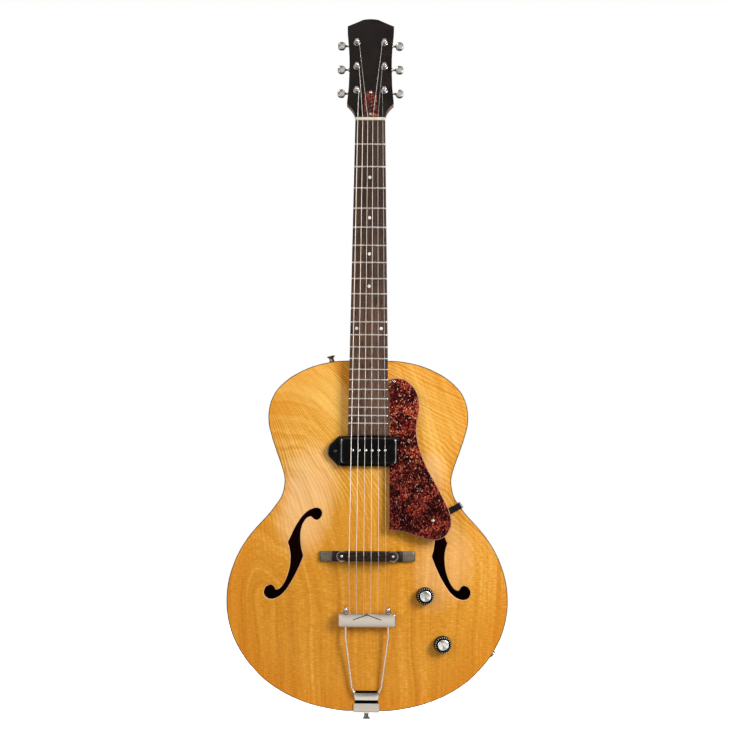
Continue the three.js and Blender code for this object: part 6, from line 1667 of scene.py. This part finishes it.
# ------------------------------------------------------------ floor and light
def floor_and_light():
    bpy.ops.mesh.primitive_circle_add(vertices=128, radius=6, fill_type="NGON", location=(0, 0, -1.02))
    floor = bpy.context.object
    floor.name = "floor"
    m = Mat("floor_white")
    n = m.noise(scale=3, detail=2)
    floor.data.materials.append(m.done(m.mix(n, (0.93, 0.93, 0.93, 1), (0.96, 0.96, 0.96, 1)), 0.9, Emission_Color=(1, 1, 1, 1), Emission_Strength=1.0, Specular_IOR_Level=0.1))
    floor.visible_glossy = False
    floor.visible_diffuse = False
    w = bpy.data.worlds.new("studio")
    bpy.context.scene.world = w
    w.use_nodes = True
    t = w.node_tree
    for n in list(t.nodes):
        t.nodes.remove(n)
    out = t.nodes.new("ShaderNodeOutputWorld")
    mixer = t.nodes.new("ShaderNodeMixShader")
    path = t.nodes.new("ShaderNodeLightPath")
    seen = t.nodes.new("ShaderNodeBackground")
    seen.inputs[0].default_value = (1, 1, 1, 1)
    lit = t.nodes.new("ShaderNodeBackground")
    tc = t.nodes.new("ShaderNodeTexCoord")
    sep = t.nodes.new("ShaderNodeSeparateXYZ")
    t.links.new(tc.outputs["Generated"], sep.inputs[0])
    # darker straight ahead of the object, soft panels to the sides, a paler one far behind
    mr = t.nodes.new("ShaderNodeMapRange")
    mr.inputs["From Min"].default_value, mr.inputs["From Max"].default_value = 1, -1
    t.links.new(sep.outputs[1], mr.inputs["Value"])
    ramp = t.nodes.new("ShaderNodeValToRGB")
    t.links.new(mr.outputs[0], ramp.inputs[0])
    stops = [(0.0, 0.60), (0.13, 0.52), (0.27, 0.10), (0.36, 0.05), (0.50, 0.16), (0.60, 0.72), (0.80, 0.80), (0.925, 0.56), (0.972, 0.18), (1.0, 0.12)]
    e = ramp.color_ramp.elements
    e[0].position, e[0].color = stops[0][0], (stops[0][1],) * 3 + (1,)
    e[1].position, e[1].color = stops[-1][0], (stops[-1][1],) * 3 + (1,)
    for pos, c in stops[1:-1]:
        e.new(pos).color = (c, c, c, 1)
    # a pale panel low in front, which the plated parts mirror
    low = t.nodes.new("ShaderNodeMapRange")
    low.interpolation_type = "SMOOTHSTEP"
    low.inputs["From Min"].default_value, low.inputs["From Max"].default_value = -0.04, -0.17
    t.links.new(sep.outputs[2], low.inputs["Value"])
    ahead = t.nodes.new("ShaderNodeMapRange")
    ahead.interpolation_type = "SMOOTHSTEP"
    ahead.inputs["From Min"].default_value, ahead.inputs["From Max"].default_value = -0.50, -0.85
    t.links.new(sep.outputs[1], ahead.inputs["Value"])
    panel = t.nodes.new("ShaderNodeMath")
    panel.operation = "MULTIPLY"
    t.links.new(low.outputs[0], panel.inputs[0])
    t.links.new(ahead.outputs[0], panel.inputs[1])
    blend = t.nodes.new("ShaderNodeMix")
    blend.data_type = "RGBA"
    t.links.new(panel.outputs[0], blend.inputs["Factor"])
    t.links.new(ramp.outputs[0], blend.inputs[6])
    blend.inputs[7].default_value = (1.0, 0.96, 0.92, 1)
    t.links.new(blend.outputs[2], lit.inputs[0])
    # dark flags: below, and a few patches round the sides, so that plating shows contrast
    under = t.nodes.new("ShaderNodeMapRange")
    under.interpolation_type = "SMOOTHSTEP"
    under.inputs["From Min"].default_value, under.inputs["From Max"].default_value = -0.62, -0.46
    under.inputs["To Min"].default_value, under.inputs["To Max"].default_value = 0.10, 1.0
    t.links.new(sep.outputs[2], under.inputs["Value"])
    cloud = t.nodes.new("ShaderNodeTexNoise")
    cloud.inputs["Scale"].default_value, cloud.inputs["Detail"].default_value = 2.3, 0.0
    t.links.new(tc.outputs["Generated"], cloud.inputs["Vector"])
    flag = t.nodes.new("ShaderNodeMapRange")
    flag.interpolation_type = "SMOOTHSTEP"
    flag.inputs["From Min"].default_value, flag.inputs["From Max"].default_value = 0.47, 0.53
    flag.inputs["To Min"].default_value, flag.inputs["To Max"].default_value = 0.25, 1.35
    t.links.new(cloud.outputs[0], flag.inputs["Value"])
    keep = t.nodes.new("ShaderNodeMapRange")
    keep.inputs["From Min"].default_value, keep.inputs["From Max"].default_value = -0.80, -0.70
    keep.inputs["To Min"].default_value, keep.inputs["To Max"].default_value = 0.0, 1.0
    t.links.new(sep.outputs[1], keep.inputs["Value"])
    level = t.nodes.new("ShaderNodeMix")
    t.links.new(keep.outputs[0], level.inputs["Factor"])
    level.inputs[2].default_value = 1.0
    t.links.new(flag.outputs[0], level.inputs[3])
    power = t.nodes.new("ShaderNodeMath")
    power.operation = "MULTIPLY"
    most = t.nodes.new("ShaderNodeMath")
    most.operation = "MAXIMUM"
    t.links.new(under.outputs[0], most.inputs[0])
    t.links.new(ahead.outputs[0], most.inputs[1])
    t.links.new(level.outputs[0], power.inputs[0])
    t.links.new(most.outputs[0], power.inputs[1])
    # the plated parts see all of it, matt surfaces a little less, so shadows stay deep
    share = t.nodes.new("ShaderNodeMapRange")
    share.inputs["To Min"].default_value, share.inputs["To Max"].default_value = 1.0, 0.72
    t.links.new(path.outputs["Is Diffuse Ray"], share.inputs["Value"])
    softer = t.nodes.new("ShaderNodeMath")
    softer.operation = "MULTIPLY"
    t.links.new(power.outputs[0], softer.inputs[0])
    t.links.new(share.outputs[0], softer.inputs[1])
    t.links.new(softer.outputs[0], lit.inputs[1])
    t.links.new(path.outputs["Is Camera Ray"], mixer.inputs[0])
    t.links.new(lit.outputs[0], mixer.inputs[1])
    t.links.new(seen.outputs[0], mixer.inputs[2])
    t.links.new(mixer.outputs[0], out.inputs[0])
    for name, at, target, size, power in (
        ("key", (2.3, -2.4, 0.75), (0, 0, -0.45), (1.2, 1.4), 113),
        ("fill", (-2.1, -2.7, 0.1), (0, 0, -0.45), (0.9, 1.7), 24),
        ("back", (0.6, 3.4, 1.0), (0, 0, -0.5), (2.0, 2.0), 64),
        ("top", (0.2, -0.6, 2.4), (0, 0, -0.4), (1.6, 1.2), 12),
        ("card", (0, 0.02, -1.0), (0, -0.02, -0.8), (0.34, 0.22), 0.30),
    ):
        d = bpy.data.lights.new(name, "AREA")
        d.shape, d.size, d.size_y, d.energy = "RECTANGLE", size[0], size[1], power
        o = bpy.data.objects.new(name, d)
        bpy.context.scene.collection.objects.link(o)
        o.location = at
        o.rotation_euler = (Vector(target) - Vector(at)).to_track_quat("-Z", "Y").to_euler()
        o.visible_glossy = name in ("key", "fill", "card")
        o.visible_camera = False


floor_and_light()
view = bpy.context.scene.view_settings
view.view_transform, view.look, view.exposure, view.gamma = "Standard", "None", 0, 1

for n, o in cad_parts.items():
    if not o.hide_render:
        kind = {"top_lining": "inner", "back_lining": "inner", "neck_block": "inner", "tail_block": "inner", "tone_bar_bass": "inner", "tone_bar_treble": "inner"}.get(n, "steel")
        if n == "pickup_coil":
            kind = "knob"
        o.data.materials.clear()
        o.data.materials.append(M[kind])
